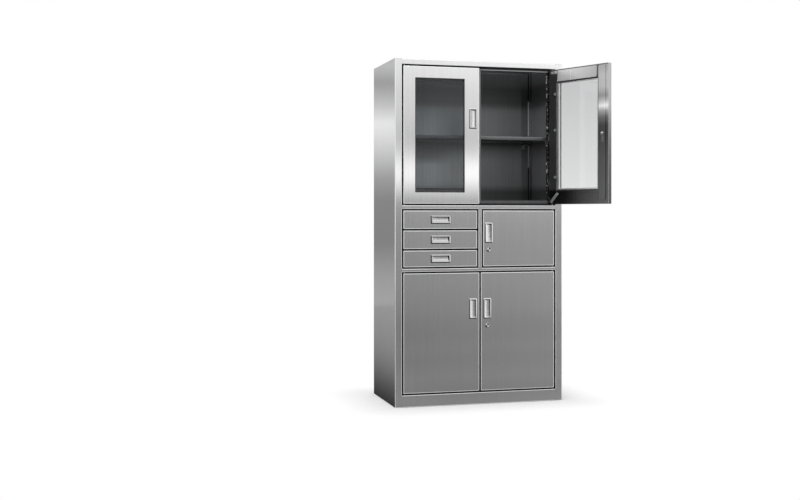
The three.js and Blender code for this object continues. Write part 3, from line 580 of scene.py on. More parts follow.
# Dull mill sheet of the pieces inside the cabinet, with the inside's painted shade and light by height
def millSteel(name, paintedLine=False):
    material, tree = newMaterial(name)
    place = objectPlace(tree)
    x, _, z = splitPlace(tree, place)
    streaks = stretchedNoise(tree, place, brushed["streaks"], brushed["coarse"])
    clouds = stretchedNoise(tree, place, brushed["clouds"], brushed["coarse"])
    blend = blendValues(tree, streaks, brushed["lineShare"], clouds)
    colour = innerTone(tree, remap(tree, blend, *brushed["spread"]), z)
    # Painted highlight and shade along a line on the rear uprights, by height
    if paintedLine:
        width = calculate(tree, "ABSOLUTE", x)
        start, end = remap(tree, width, *rearLine["start"]), remap(tree, width, *rearLine["end"], 1.0, 0.0)
        colour = mixColours(tree, product(tree, start, end), colour, rampAlong(tree, z, rearLine["tones"]))
    rough = remap(tree, blend, *brushed["spread"], *inner["millRoughness"])
    finishSurface(tree, colour, rough, inner["metal"], streaks, brushed["bump"])
    return material


# Bright metal of the pulls, locks, pins and clips: a fine mottle in the plating
plating = {
    "mottle": (180.0, 180.0, 180.0),
    "spread": (0.3, 0.7),
    "turned": (0.1, 0.35),    # cosines between which a face counts as turned to a direction
    "bump": (0.02, 0.0003),
}
pullPlate = {"pale": (0.9, 0.9, 0.91, 1), "deep": (0.82, 0.82, 0.83, 1), "roughness": (0.2, 0.28)}
bracePlate = {"pale": (0.88, 0.88, 0.89, 1), "deep": (0.78, 0.78, 0.79, 1), "roughness": (0.3, 0.4)}
beadPlate = {"pale": (0.82, 0.82, 0.82, 1), "deep": (0.74, 0.74, 0.75, 1), "roughness": (0.3, 0.4)}
zincPlate = {"pale": (0.6, 0.6, 0.62, 1), "deep": (0.45, 0.45, 0.47, 1), "roughness": (0.25, 0.4)}
lockPlate = {"pale": (0.8, 0.8, 0.81, 1), "deep": (0.68, 0.68, 0.69, 1), "roughness": (0.12, 0.22)}


# Faces turned to some directions take a painted tone: painted light or shade by the way they face
def finishPlate(tree, plate, turns, metal):
    mottle = stretchedNoise(tree, objectPlace(tree), plating["mottle"])
    colour = mixColours(tree, mottle, plate["deep"], plate["pale"])
    for direction, tone in turns:
        turned = remap(tree, facing(tree, direction), *plating["turned"])
        colour = mixColours(tree, turned, colour, tone)
    rough = remap(tree, mottle, *plating["spread"], *plate["roughness"])
    finishSurface(tree, colour, rough, metal, mottle, plating["bump"])


def platedMetal(name, plate, turns=()):
    material, tree = newMaterial(name)
    finishPlate(tree, plate, [(direction, grey(tone)) for direction, tone in turns], 1.0)
    return material


# Cam locks: a painted highlight on the turned face, bright along one diagonal and dark along the other, and
# backs painted dark as shade
lockFace = {
    "bright": (0.95, 0.95, 0.95, 1),
    "dark": (0.05, 0.05, 0.052, 1),
    "back": (0.1, 0.1, 0.1, 1),
    "metal": 0.6,
    "diagonal": (-0.2, 0.2),  # half sines of twice the angle, from the bright diagonal to the dark
}


# The half sine of twice the angle about the lock's axis is across * up / (across^2 + up^2)
def lockChrome(name, lock, turn):
    material, tree = newMaterial(name)
    place, centre = objectPlace(tree), joints[lock + "_turn"]["pos_m"]
    across = distanceAlong(tree, place, centre, turn((1, 0, 0)))
    up = distanceAlong(tree, place, centre, (0, 0, 1))
    halfSine = calculate(tree, "DIVIDE", product(tree, across, up), sumOfSquares(tree, across, up))
    diagonal = remap(tree, halfSine, *lockFace["diagonal"])
    paintedBowTie = mixColours(tree, diagonal, lockFace["bright"], lockFace["dark"])
    turns = [(turn(shutFront), paintedBowTie), (turn(shutBack), lockFace["back"])]
    finishPlate(tree, lockPlate, turns, lockFace["metal"])
    return material


# Front uprights: steel painted dark as shade, with bright flecks as painted highlights where the edges of
# the slots catch the light
flecked = {
    "dark": (0.03, 0.03, 0.032, 1),
    "fleck": (0.75, 0.75, 0.76, 1),
    "flecks": (130.0, 130.0, 60.0),
    "detail": 1.0,
    "share": (0.62, 0.68),
    "roughness": 0.32,
    "metal": 0.9,
    "bump": (0.05, 0.0005),
}


def fleckedSteel(name):
    material, tree = newMaterial(name)
    flecks = stretchedNoise(tree, objectPlace(tree), flecked["flecks"], flecked["detail"])
    colour = mixColours(tree, remap(tree, flecks, *flecked["share"]), flecked["dark"], flecked["fleck"])
    finishSurface(tree, colour, flecked["roughness"], flecked["metal"], flecks, flecked["bump"])
    return material


# Float glass, with faint smears that only change its roughness
glazing = {
    "clear": [(0.77, 0.785, 0.785, 1), (0.595, 0.61, 0.61, 1)],  # tints at the two heights: darker at the upper, as painted shade
    "cool": [(0.74, 0.785, 0.81, 1), (0.56, 0.6, 0.625, 1)],
    "heights": (1.1, 1.62),
    "smears": (6.0, 6.0, 2.5),
    "spread": (0.45, 0.75),
    "roughness": (0.0, 0.04),
    "ior": 1.4,
}


def paneGlass(name, tints):
    material, tree = newMaterial(name)
    place = objectPlace(tree)
    smears = stretchedNoise(tree, place, glazing["smears"])
    # Painted shade: the tint darkens towards the top
    height = remap(tree, splitPlace(tree, place)[2], *glazing["heights"])
    rough = remap(tree, smears, *glazing["spread"], *glazing["roughness"])
    shader = finishSurface(tree, mixColours(tree, height, *tints), rough)
    shader.inputs["Transmission Weight"].default_value = 1.0
    shader.inputs["IOR"].default_value = glazing["ior"]
    return material


# Black glazing rubber with a dusty bloom
rubber = {
    "deep": (0.008, 0.008, 0.009, 1),
    "dusty": (0.03, 0.03, 0.032, 1),
    "bloom": (60.0, 60.0, 60.0),
    "spread": (0.3, 0.7),
    "roughness": (0.45, 0.65),
    "bump": (0.05, 0.0002),
}


def blackRubber(name):
    material, tree = newMaterial(name)
    bloom = stretchedNoise(tree, objectPlace(tree), rubber["bloom"])
    colour = mixColours(tree, bloom, rubber["deep"], rubber["dusty"])
    rough = remap(tree, bloom, *rubber["spread"], *rubber["roughness"])
    finishSurface(tree, colour, rough, height=bloom, bump=rubber["bump"])
    return material


frontPale, frontDeep = (0.75, 0.75, 0.755, 1), (0.71, 0.71, 0.715, 1)
backPale, backDeep = (0.52, 0.52, 0.525, 1), (0.46, 0.46, 0.465, 1)
carcassSteel = brushedSteel("carcassSteel", frontPale, frontDeep, carcass=True)
openDoorSteel = brushedSteel("openDoorSteel", frontPale, frontDeep, openDoor=True)
backSteel = brushedSteel("backSteel", backPale, backDeep)
shutDoorBack = doorBackSteel("shutDoorBack", shutFront, False)
openDoorBack = doorBackSteel("openDoorBack", openFront, True)
innerSteel = millSteel("innerSteel")
rearSteel = millSteel("rearSteel", paintedLine=True)
uprightSteel = fleckedSteel("uprightSteel")

# Painted light and shade: tones of the faces that look up, left and down, on upright and on level pulls
uprightTurns = [((0, 0, 1), 0.75), ((-1, 0, 0), 0.28), ((0, 0, -1), 0.06)]
levelTurns = [((0, 0, 1), 0.6), ((-1, 0, 0), 0.03), ((0, 0, -1), 0.06)]
openTurns = [(turnedOpen(direction), tone) for direction, tone in uprightTurns]
beadShadeTone = 0.02               # of the beads' faces to the front and down, painted dark as shade
pullChrome = platedMetal("pullChrome", pullPlate, uprightTurns)
drawerChrome = platedMetal("drawerChrome", pullPlate, levelTurns)
openChrome = platedMetal("openChrome", pullPlate, openTurns)
braceMetal = platedMetal("braceMetal", bracePlate)
shutBead = platedMetal("shutBead", beadPlate, [(shutFront, beadShadeTone), ((0, 0, -1), beadShadeTone)])
openBead = platedMetal("openBead", beadPlate, [(openFront, beadShadeTone)])
zincedSteel = platedMetal("zincedSteel", zincPlate)
clearPane = paneGlass("clearPane", glazing["clear"])
coolPane = paneGlass("coolPane", glazing["cool"])
sealRubber = blackRubber("sealRubber")
print("materials made")

# Each node's finish, by the last word of its name, and the nodes that differ
finishes = {
    "panel": carcassSteel,
    "deck": carcassSteel,
    "partition": carcassSteel,
    "pull": pullChrome,
    "pin": zincedSteel,
    "clip": zincedSteel,
    "pane": clearPane,
    "retainer": shutDoorBack,
    "shelf": innerSteel,
    "box": innerSteel,
    "runner": innerSteel,
}
otherFinishes = {
    "front_left_upright": uprightSteel,
    "front_right_upright": uprightSteel,
    "rear_left_upright": rearSteel,
    "rear_right_upright": rearSteel,
    "base_frame": innerSteel,
    "locker_door_inner_panel": backSteel,
    "lower_left_door_inner_panel": backSteel,
    "lower_right_door_inner_panel": backSteel,
    "left_glass_door_pane": coolPane,
    "right_glass_door_frame": openDoorSteel,
    "right_glass_door_retainer": openDoorBack,
    "glass_door_lock": lockChrome("openLockChrome", "glass_door_lock", turnedOpen),
    "locker_lock": lockChrome("lockerLockChrome", "locker_lock", asShut),
    "lower_door_lock": lockChrome("lowerLockChrome", "lower_door_lock", asShut),
}


def dressNodes():
    for name, node in nodes.items():
        finish = otherFinishes.get(name) or finishes.get(name.split("_")[-1])
        if finish is None:  # frames, skins and drawer fronts, each with its own painted bright band and painted dark rim at its edges
            finish = brushedSteel(name + "_steel", frontPale, frontDeep, front=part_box(name))
        node.data.materials.clear()
        node.data.materials.append(finish)


dressNodes()
print("finishes given to", len(nodes), "nodes")


# Closed loop with rounded corners. Each corner C is the curve (1-t)^2 A + 2t(1-t) C + t^2 B,
# from A to B, which lie one radius away from C along its two sides.
def roundedLoop(corners, radius, arcPoints=6):
    corner = np.asarray(corners, float)
    before = np.roll(corner, 1, axis=0) - corner
    after = np.roll(corner, -1, axis=0) - corner
    start = corner + radius * before / np.linalg.norm(before, axis=1, keepdims=True)
    end = corner + radius * after / np.linalg.norm(after, axis=1, keepdims=True)
    t = np.linspace(0, 1, arcPoints)[None, :, None]
    curve = (1 - t) ** 2 * start[:, None] + 2 * t * (1 - t) * corner[:, None] + t ** 2 * end[:, None]
    return curve.reshape(-1, 2)


# Rounded rectangle from its left, right, bottom and top edges
def rectangleLoop(left, right, bottom, top, radius):
    return roundedLoop([(right, top), (left, top), (left, bottom), (right, bottom)], radius)


# Circle or polygon: radius * (cos, sin) of evenly spaced angles
def roundLoop(x, z, radius, count):
    angle = np.arange(count) * 2 * np.pi / count
    return np.stack([x + radius * np.cos(angle), z + radius * np.sin(angle)], -1)


# Stack of loops: a loop's coordinates are x and z, and its depth goes along Y
def stackLoops(levels):
    return np.array([np.insert(loop, 1, depth, axis=1) for loop, depth in levels])


# Points of the right glass door, worked out shut, turned open about its pivot
def swungOpen(points):
    offset = np.moveaxis(points - openPivot, -1, 0)
    return np.stack(turnedOpen(offset), -1) + openPivot


def faceOutward(mesh):
    work = bmesh.new()
    work.from_mesh(mesh)
    bmesh.ops.recalc_face_normals(work, faces=work.faces)
    work.to_mesh(mesh)
    work.free()


# Grid surface through a stack of loops: row r and column c make the quad to row r + 1 and
# column c + 1. Each end loop is closed by one face, or the last loop joins the first as a ring.
def loopSurface(name, loops, finish, body, ring=False, sharpAngle=40):
    rows, count = loops.shape[:2]
    row = np.arange(rows if ring else rows - 1)[:, None] * count
    nextRow = (row + count) % (rows * count)
    column = np.arange(count)[None, :]
    nextColumn = (column + 1) % count
    quads = np.stack([row + column, row + nextColumn, nextRow + nextColumn, nextRow + column], -1)
    faces = quads.reshape(-1, 4).tolist()
    if not ring:
        faces += [list(range(count)), list(range((rows - 1) * count, rows * count))]
    mesh = bpy.data.meshes.new(name)
    mesh.from_pydata(loops.reshape(-1, 3).tolist(), [], faces)
    faceOutward(mesh)
    mesh.polygons.foreach_set("use_smooth", np.ones(len(mesh.polygons), bool))
    mesh.set_sharp_from_angle(angle=math.radians(sharpAngle))
    mesh.materials.append(finish)
    piece = bpy.data.objects.new(name, mesh)
    bpy.context.collection.objects.link(piece)
    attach(piece, body)
    return piece


# Middle of a node's front, as x, y and z
def frontMiddle(name):
    low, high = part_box(name)
    return np.array([(low.x + high.x) / 2, low.y, (low.z + high.z) / 2])


# Dished pulls: cup behind the skin, raised rim with a broad bevel, and a dish that is easy on
# the thumb's side and steep on the fingers' side
pullShape = {
    "rimRise": 0.003,
    "rimLap": 0.004,
    "rimWidth": 0.006,
    "bevel": 0.0042,
    "crown": 0.0003,          # height that rounds the bevel into the rim's flat
    "lip": 0.0012,
    "corner": 0.005,
    "cupCorner": 0.0012,
    "mouthCorner": 0.003,
    "floorCorner": 0.002,
    "dishDepth": 0.0082,
    "easing": 0.2,            # share of the dish's walls that rounds into the floor
    "arcSteps": 5,
    "dishSteps": 16,
}
uprightSlopes = {"thumb": 0.0165, "grip": 0.004, "top": 0.005, "bottom": 0.005}
levelSlopes = {"thumb": 0.013, "grip": 0.004, "top": 0.008, "bottom": 0.005}  # its top lies to the left
uprightPulls = ["left_glass_door", "right_glass_door", "locker_door", "lower_left_door", "lower_right_door"]
levelPulls = ["top_drawer", "middle_drawer", "bottom_drawer"]


# Loops of an upright pull about its own middle, with depth from the front of its rim.
# The bevel is straight and the lip a quarter circle. The dish's walls are straight, t, and then
# ease into the floor as t - (t - s)^2 / 2e, where s is the easing's start and e its length.
def pullLoops(wide, high, deep, slopes):
    shape = pullShape

    def inset(amount, radius, depth):
        edges = (amount - wide / 2, wide / 2 - amount, amount - high / 2, high / 2 - amount)
        return rectangleLoop(*edges, radius), depth

    lip, easing = shape["lip"], shape["easing"]
    levels = [inset(shape["rimLap"], shape["cupCorner"], depth) for depth in (deep, shape["rimRise"])]
    levels.append(inset(0.0, shape["corner"], shape["rimRise"]))
    levels.append(inset(shape["bevel"], shape["corner"], shape["crown"]))
    for angle in np.linspace(0, np.pi / 2, shape["arcSteps"]):
        reach = shape["rimWidth"] - lip + lip * math.sin(angle)
        levels.append(inset(reach, shape["mouthCorner"], lip * (1 - math.cos(angle))))
    mouth, reach = wide / 2 - shape["rimWidth"], high / 2 - shape["rimWidth"]
    for share in np.linspace(0, 1, shape["dishSteps"])[1:]:
        left, right = slopes["thumb"] * share - mouth, mouth - slopes["grip"] * share
        bottom, top = slopes["bottom"] * share - reach, reach - slopes["top"] * share
        radius = shape["mouthCorner"] + (shape["floorCorner"] - shape["mouthCorner"]) * share
        fall = share - max(share - 1 + easing, 0) ** 2 / (2 * easing)
        depth = lip + (shape["dishDepth"] - lip) * fall / (1 - easing / 2)
        levels.append((rectangleLoop(left, right, bottom, top, radius), depth))
    return stackLoops(levels)


def makePulls():
    low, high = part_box("left_glass_door_pull")
    wide, deep, tall = high - low
    uprightLoops = pullLoops(wide, tall, deep, uprightSlopes)
    across, depth, up = np.moveaxis(pullLoops(wide, tall, deep, levelSlopes), -1, 0)
    levelLoops = np.stack([-up, depth, across], -1)
    for owner in uprightPulls + levelPulls:
        node = owner + "_pull"
        if owner == "right_glass_door":  # mirrors the left door's
            mirrored = frontMiddle("left_glass_door_pull") * (-1, 1, 1)
            points, chrome = swungOpen(uprightLoops + mirrored), openChrome
        elif owner in levelPulls:
            points, chrome = levelLoops + frontMiddle(node), drawerChrome
        else:
            points, chrome = uprightLoops + frontMiddle(node), pullChrome
        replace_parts(loopSurface(owner + "_dished_pull", points, chrome, owner), node)


makePulls()
print("pulls made")


# Glass doors' trim, measured from the door's hinge edge, free edge, bottom, top and face
glassTrim = {
    "window": {"hinge": 0.063, "free": 0.080, "bottom": 0.059, "top": 0.059},
    "windowCorner": 0.003,
    "retainer": {"hinge": 0.044, "free": 0.065, "bottom": 0.069, "top": 0.063},
    "retainerCorner": 0.002,
    "sealThickness": 0.0045,
    "sealDepths": (0.0014, 0.0061),
    "sealRound": 0.0008,
    "gasketWidth": {"hinge": 0.0045, "free": 0.0045, "bottom": 0.0045, "top": 0.0065},
    "gasketDepths": (0.0105, 0.0225),
    "beadWidth": {"hinge": 0.0195, "free": 0.009, "bottom": 0.008, "top": 0.005},
    "beadDepths": (0.0105, 0.0205),
    "beadRound": 0.0015,
    "clipHeights": (0.138, 0.382, 0.568),  # above the door's bottom edge
    "clipSize": (0.016, 0.015),
    "clipDepths": (0.0252, 0.027),
    "clipLap": 0.009,         # of a clip past the edge of the retainer's opening
    "clipScrew": 0.75,        # share of a clip's width from its tip
    "strap": [                # corners, from the hinge and the bottom
        (0.0175, 0.0043), (0.0675, 0.0523), (0.0565, 0.0637), (0.0065, 0.0157),
    ],
    "strapScrews": [(0.029, 0.0265), (0.055, 0.0515)],  # clear of the stop below the door
    "strapDepths": (0.0222, 0.024),
    "pivotPlate": {"across": (0.012, 0.054), "down": (0.0085, 0.0225)},  # from the hinge and the top
    "pivotScrews": [(0.02, 0.0157), (0.046, 0.0157)],
    "plateCorner": 0.003,
    "plateChamfer": 0.0005,
}


# Place across a shut glass door from its hinge edge. Side is -1 on the left door, 1 on the right.
def acrossDoor(side, distance):
    return side * (-doorLow.x - distance)


# Left and right edges, bottom and top of an opening in a shut glass door
def openingEdges(side, margins):
    ends = sorted([acrossDoor(side, margins["hinge"]), side * (margins["free"] - doorHigh.x)])
    return *ends, doorLow.z + margins["bottom"], doorHigh.z - margins["top"]


# Four widths of a ring: left, right, bottom and top
def ringWidths(side, widths):
    ends = (widths["hinge"], widths["free"])[::-side]
    return np.array([*ends, widths["bottom"], widths["top"]])


# Ring whose profile is a list of (inset from the edges, depth behind the door's face)
def ringLoops(edges, profile, corner):
    inward = np.array([1, -1, 1, -1])
    levels = []
    for inset, depth in profile:
        loop = rectangleLoop(*(np.array(edges) + inward * inset), corner)
        levels.append((loop, doorLow.y + depth))
    return stackLoops(levels)


# Plate with a small chamfer: the outline at two depths, drawn in at the last
def plateLoops(outline, depths):
    chamfer = glassTrim["plateChamfer"]
    near, far = (doorLow.y + depth for depth in depths)
    middle = outline.mean(axis=0)
    reach = np.linalg.norm(outline - middle, axis=1, keepdims=True)
    drawnIn = outline - (outline - middle) * chamfer / reach
    return stackLoops([(outline, near), (outline, far - chamfer), (drawnIn, far)])


screwHead = {
    "radius": 0.0035,
    "height": 0.0016,
    "dome": 0.4 * np.pi,      # angle up to which the head follows the dome
    "steps": 5,
    "sides": 20,
}


# Pan head: circles whose radius falls off as the height grows, like a flattened dome
def screwLoops(x, z, depth):
    levels = []
    for angle in np.linspace(0, screwHead["dome"], screwHead["steps"]):
        loop = roundLoop(x, z, screwHead["radius"] * math.cos(angle), screwHead["sides"])
        levels.append((loop, doorLow.y + depth + screwHead["height"] * math.sin(angle)))
    return stackLoops(levels)


def trimGlassDoor(owner, side):
    trim = glassTrim
    hang = swungOpen if side > 0 else asShut

    def addRing(word, edges, profile, corner, finish):
        loops = hang(ringLoops(edges, profile, corner))
        loopSurface(f"{owner}_{word}", loops, finish, owner, ring=True)

    def addPlate(word, outline, depths, finish):
        loopSurface(f"{owner}_{word}", hang(plateLoops(outline, depths)), finish, owner)

    def addScrew(word, x, z, depths):
        loopSurface(f"{owner}_{word}", hang(screwLoops(x, z, depths[1])), zincedSteel, owner)

    thick, curve = trim["sealThickness"], trim["sealRound"]
    near, far = trim["sealDepths"]
    profile = [
        (hairGap, far), (hairGap, near), (thick - curve, near), (thick, near + curve), (thick, far),
    ]
    window = openingEdges(side, trim["window"])
    addRing("window_seal", window, profile, trim["windowCorner"], sealRubber)

    opening = openingEdges(side, trim["retainer"])
    gap, (near, far) = ringWidths(side, trim["gasketWidth"]), trim["gasketDepths"]
    profile = [(hairGap, near), (hairGap, far), (gap, far), (gap, near)]
    addRing("pane_gasket", opening, profile, trim["retainerCorner"], sealRubber)

    gap, curve = gap + hairGap, trim["beadRound"]
    end, (near, far) = gap + ringWidths(side, trim["beadWidth"]), trim["beadDepths"]
    profile = [
        (gap, near), (gap, far - curve), (gap + curve, far),
        (end - curve, far), (end, far - curve), (end, near),
    ]
    bead = openBead if side > 0 else shutBead
    addRing("glazing_bead", opening, profile, trim["retainerCorner"], bead)

    wide, high = trim["clipSize"]
    tip = acrossDoor(side, trim["retainer"]["hinge"] + trim["clipLap"])
    ends = sorted([tip, tip + side * wide])
    for number, height in enumerate(trim["clipHeights"], 1):
        z = doorLow.z + height
        outline = rectangleLoop(*ends, z - high / 2, z + high / 2, trim["plateCorner"])
        addPlate(f"pane_clip_{number}", outline, trim["clipDepths"], zincedSteel)
        screwX = tip + side * wide * trim["clipScrew"]
        addScrew(f"pane_clip_{number}_screw", screwX, z, trim["clipDepths"])

    strap = np.array(trim["strap"])
    outline = np.stack([acrossDoor(side, strap[:, 0]), doorLow.z + strap[:, 1]], -1)
    addPlate("corner_strap", roundedLoop(outline, trim["plateCorner"]), trim["strapDepths"], braceMetal)
    ends = sorted(acrossDoor(side, across) for across in trim["pivotPlate"]["across"])
    top, bottom = (doorHigh.z - down for down in trim["pivotPlate"]["down"])
    outline = rectangleLoop(*ends, bottom, top, trim["plateCorner"])
    addPlate("pivot_plate", outline, trim["strapDepths"], braceMetal)
    for number, (across, down) in enumerate(trim["pivotScrews"], 1):
        place = (acrossDoor(side, across), doorHigh.z - down)
        addScrew(f"pivot_plate_screw_{number}", *place, trim["strapDepths"])
    for number, (across, up) in enumerate(trim["strapScrews"], 1):
        place = (acrossDoor(side, across), doorLow.z + up)
        addScrew(f"corner_strap_screw_{number}", *place, trim["strapDepths"])


trimGlassDoor("left_glass_door", -1)
trimGlassDoor("right_glass_door", 1)
print("glass doors trimmed")


# Cam locks: a bezel round each head, and the washer, nut and screw end that hold the cam
lockTrim = {
    "bezelRadii": (0.0102, 0.0128),
    "bezelRise": 0.0024,
    "bezelEdge": 0.0009,
    "washerRadius": 0.0075,
    "washerThickness": 0.001,
    "nutRadius": 0.0068,
    "nutThickness": 0.004,
    "nutSides": 6,
    "screwRadius": 0.003,
    "screwLength": 0.002,
    "edgeShare": 0.25,        # of a piece's thickness, for its chamfer
    "sides": 36,
}
locks = [
    ("glass_door_lock", "right_glass_door", "glass_door_cam_lock"),
    ("locker_lock", "locker_door", "locker_cam_lock"),
    ("lower_door_lock", "lower_right_door", "lower_door_cam_lock"),
]


# Ring turned about the lock's axis: circles of each radius and depth of its profile
def bezelLoops(x, z):
    low, outer = lockTrim["bezelRadii"]
    rise, edge = lockTrim["bezelRise"], lockTrim["bezelEdge"]
    profile = [
        (low, -hairGap), (outer, -hairGap), (outer - edge / 2, -edge),
        (low + edge, -rise), (low + edge / 2, -rise), (low, edge / 2 - rise),
    ]
    sides = lockTrim["sides"]
    return stackLoops([(roundLoop(x, z, radius, sides), doorLow.y + depth) for radius, depth in profile])


# Washer, hexagon and screw end, one after another away from the cam's back. Each is a circle or
# polygon at two depths, drawn in at the last.
def nutPieces(x, z, back):
    washer = back + lockTrim["washerThickness"]
    nut = washer + lockTrim["nutThickness"]
    tip = nut + lockTrim["screwLength"]
    spans = [
        ("washer", lockTrim["washerRadius"], lockTrim["sides"], back, washer),
        ("nut", lockTrim["nutRadius"], lockTrim["nutSides"], washer, nut),
        ("screw_end", lockTrim["screwRadius"], lockTrim["sides"], nut, tip),
    ]
    for word, radius, sides, near, far in spans:
        edge = (far - near) * lockTrim["edgeShare"]
        profile = [(radius, near + hairGap), (radius, far - edge), (radius - edge, far)]
        yield word, stackLoops([(roundLoop(x, z, wide, sides), depth) for wide, depth in profile])


# Furthest that a node of the open door reaches to the door's back, from the door's pivot
def openReach(name):
    vertices = nodes[name].data.vertices
    points = np.empty(len(vertices) * 3, np.float32)
    vertices.foreach_get("co", points)
    return ((points.reshape(-1, 3) - openPivot) @ turnedOpen(shutBack)).max()


def makeLockTrim():
    for node, owner, camBody in locks:
        x, _, z = joints[node + "_turn"]["pos_m"]
        if owner == "right_glass_door":
            hang, x = swungOpen, -frontMiddle("left_glass_door_pull")[0]
            back = openPivot[1] + openReach(node)
        else:
            hang, back = asShut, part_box(node)[1].y
        loopSurface(node + "_bezel", hang(bezelLoops(x, z)), pullChrome, owner, ring=True)
        for word, loops in nutPieces(x, z, back):
            loopSurface(f"{node}_{word}", hang(loops), zincedSteel, camBody)


makeLockTrim()
print("locks trimmed")


# Studio: a white floor and sky, and grey walls and floor cloths that only reflections see
studio = {
    "reach": 5.6,             # of the walls from the cabinet's middle
    "wallTop": 4.2,
    "wallWide": 9.0,
    "wallRight": 5.0,         # end of the front wall, past which the sky shows
    "clothRight": 3.4,
    "clothHeight": 0.003,
    "floorSize": 60.0,
    "floorGlow": (0.15, 1.0),  # own white beside the cabinet and away from it
    "shadowReach": 0.24,
    "floorPaint": 0.8,
    "skyLight": 0.9,
}

# Tones of the sheets: (metres up a wall, or along a cloth away from the cabinet, brightness)
sheetTones = {
    "frontWall": [
        (0.0, 0.305), (0.1, 0.318), (0.3, 0.355), (0.48, 0.348), (0.9, 0.39), (1.04, 0.41), (1.11, 0.5),
        (1.22, 1.0), (1.33, 1.5), (1.46, 1.38), (1.6, 0.78), (1.76, 0.7), (1.95, 0.9), (2.2, 0.93),
        (2.45, 1.12), (2.7, 1.18),
    ],
    "sideWall": [
        (0.0, 0.47), (0.3, 0.41), (0.65, 0.27), (1.1, 0.29), (1.33, 0.42), (1.62, 0.75), (1.9, 1.05),
        (2.1, 0.68), (2.33, 0.4), (2.5, 0.63),
    ],
    "backWall": [(0.0, 0.5), (0.7, 0.42), (1.3, 0.6), (1.9, 0.95), (2.6, 0.7), (3.4, 0.9)],
    "frontCloth": [
        (0.0, 0.31), (0.3, 0.278), (0.5, 0.266), (0.86, 0.284), (1.27, 0.264), (1.7, 0.246), (2.2, 0.261),
        (2.8, 0.233), (3.5, 0.229), (4.3, 0.231), (5.0, 0.248),
    ],
    "sideCloth": [(0.0, 0.04), (0.14, 0.1), (0.35, 0.22), (0.6, 0.3), (1.2, 0.37), (3.0, 0.45)],
    "backCloth": [(0.0, 0.12), (0.3, 0.3), (1.0, 0.42), (2.6, 0.6), (5.0, 0.5)],
    "rightCloth": [(0.0, 0.15), (0.3, 0.35), (1.0, 0.5), (2.0, 0.7), (2.9, 1.0)],
}
sheetSlants = {               # share of the tones from one x to another
    "frontWall": (0.5, 3.0, 0.88, 1.11),
    "frontCloth": (0.0, 1.6, 0.95, 1.28),
}
sheetFades = {"frontCloth": (2.9, 3.4)}  # x between which it turns as white as the floor
seenThroughGlass = ("frontWall", "frontCloth")


def flatSheet(name, corners):
    mesh = bpy.data.meshes.new(name)
    mesh.from_pydata(corners, [], [(0, 1, 2, 3)])
    sheet = bpy.data.objects.new(name, mesh)
    bpy.context.collection.objects.link(sheet)
    return sheet


def wallCorners(left, right, y):
    top = studio["wallTop"]
    return [(left, y, 0), (right, y, 0), (right, y, top), (left, y, top)]


def levelCorners(left, right, front, back, height):
    return [(left, front, height), (right, front, height), (right, back, height), (left, back, height)]


# Emission whose tone follows one Object axis, measured from a start and in a direction
def tonedGlow(name, axis, start, sign):
    material, tree = newMaterial(name + "Glow")
    place = splitPlace(tree, objectPlace(tree))
    distance = calculate(tree, "MULTIPLY", calculate(tree, "SUBTRACT", place[axis], start), sign)
    colour = rampAlong(tree, distance, sheetTones[name])
    if name in sheetSlants:
        colour = scaleColour(tree, colour, remap(tree, place[0], *sheetSlants[name]))
    if name in sheetFades:
        colour = mixColours(tree, remap(tree, place[0], *sheetFades[name]), colour, white)
    glow = addNode(tree, "ShaderNodeEmission")
    plug(tree, colour, glow.inputs["Color"])
    showSurface(tree, glow)
    return material


def makeSheets():
    far, wide = studio["reach"], studio["wallWide"]
    left, front = cabinetLow.x, cabinetLow.y
    right, back = cabinetHigh.x, cabinetHigh.y
    clothRight, cloth = studio["clothRight"], studio["clothHeight"]
    sheets = [  # name, corners, and the tones' axis, start and direction
        ("frontWall", wallCorners(-wide, studio["wallRight"], -far), 2, 0.0, 1.0),
        ("sideWall", wallCorners(-wide, left, far), 2, 0.0, 1.0),
        ("frontCloth", levelCorners(-wide, clothRight, -far, front, cloth), 1, front, -1.0),
        ("sideCloth", levelCorners(-wide, left, front, far, cloth), 0, left, -1.0),
        ("backWall", wallCorners(left, wide, far), 2, 0.0, 1.0),
        ("backCloth", levelCorners(left, wide, back, far, cloth), 1, back, 1.0),
        ("rightCloth", levelCorners(right, clothRight, front, back, cloth), 0, right, 1.0),
    ]
    for name, corners, axis, start, sign in sheets:
        sheet = flatSheet(name, corners)
        sheet.data.materials.append(tonedGlow(name, axis, start, sign))
        sheet.visible_camera = False
        sheet.visible_diffuse = False
        sheet.visible_shadow = False
        sheet.visible_volume_scatter = False
        sheet.visible_transmission = name in seenThroughGlass


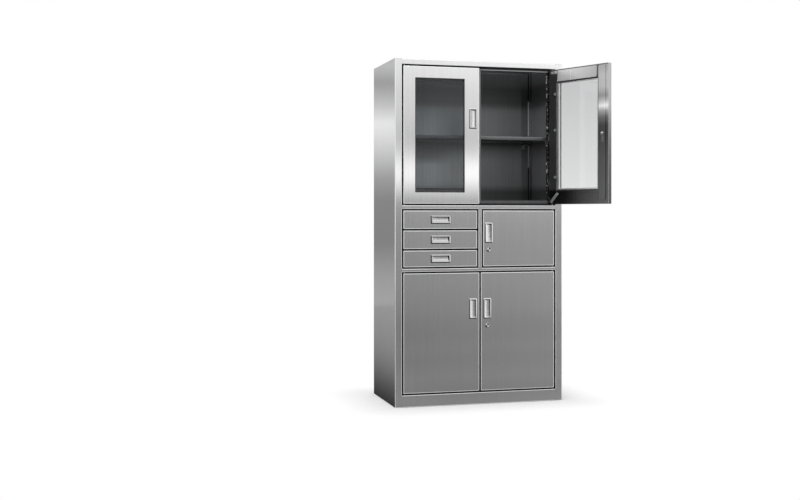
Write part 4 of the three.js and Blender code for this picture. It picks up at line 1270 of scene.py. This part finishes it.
# Floor: its own white, with a share of lit paint near the cabinet that keeps the shadow.
# The distance from the cabinet is the length of what x and y exceed its half sizes by.
def makeFloor():
    half = studio["floorSize"] / 2
    floor = flatSheet("floor", levelCorners(-half, half, -half, half, 0))
    material, tree = newMaterial("paleFloor")
    glow = addNode(tree, "ShaderNodeEmission")
    glow.inputs["Color"].default_value = white
    paint = addNode(tree, "ShaderNodeBsdfDiffuse")
    paint.inputs["Color"].default_value = grey(studio["floorPaint"])
    x, y, _ = splitPlace(tree, objectPlace(tree))
    excess = []
    for along, edge in ((x, cabinetHigh.x), (y, cabinetHigh.y)):
        past = calculate(tree, "SUBTRACT", calculate(tree, "ABSOLUTE", along), edge)
        excess.append(calculate(tree, "MAXIMUM", past, 0.0))
    distance = calculate(tree, "SQRT", sumOfSquares(tree, *excess))
    blend = addNode(tree, "ShaderNodeMixShader")
    plug(tree, remap(tree, distance, 0.0, studio["shadowReach"], *studio["floorGlow"]), blend.inputs[0])
    tree.links.new(paint.outputs[0], blend.inputs[1])
    tree.links.new(glow.outputs[0], blend.inputs[2])
    showSurface(tree, blend)
    floor.data.materials.append(material)


# Sky: white to the camera, to reflections and through glass, and softer as a light
def makeSky():
    world = bpy.data.worlds.new("studioSky")
    bpy.context.scene.world = world
    world.use_nodes = True
    tree = world.node_tree
    tree.nodes.clear()
    path = addNode(tree, "ShaderNodeLightPath")
    seen = calculate(tree, "MAXIMUM", path.outputs["Is Camera Ray"], path.outputs["Is Glossy Ray"])
    seen = calculate(tree, "MAXIMUM", seen, path.outputs["Is Transmission Ray"])
    sky = addNode(tree, "ShaderNodeBackground")
    sky.inputs["Color"].default_value = white
    plug(tree, remap(tree, seen, 0.0, 1.0, studio["skyLight"], 1.0), sky.inputs["Strength"])
    output = addNode(tree, "ShaderNodeOutputWorld")
    tree.links.new(sky.outputs[0], output.inputs["Surface"])


lamp = {
    "place": (-1.6, -2.6, 4.2),
    "aim": (0.0, 0.0, 0.9),
    "size": 2.6,
    "power": 60.0,
}


def makeLamp():
    data = bpy.data.lights.new("softbox", "AREA")
    data.shape = "SQUARE"
    data.size = lamp["size"]
    data.energy = lamp["power"]
    softbox = bpy.data.objects.new("softbox", data)
    away = np.array(lamp["place"]) - np.array(lamp["aim"])
    tilt = math.atan2(math.hypot(away[0], away[1]), away[2])
    softbox.location = lamp["place"]
    softbox.rotation_euler = (tilt, 0, math.atan2(away[0], -away[1]))
    bpy.context.collection.objects.link(softbox)


makeSheets()
makeFloor()
makeSky()
makeLamp()
bpy.context.scene.view_settings.view_transform = "Standard"
print("studio built")
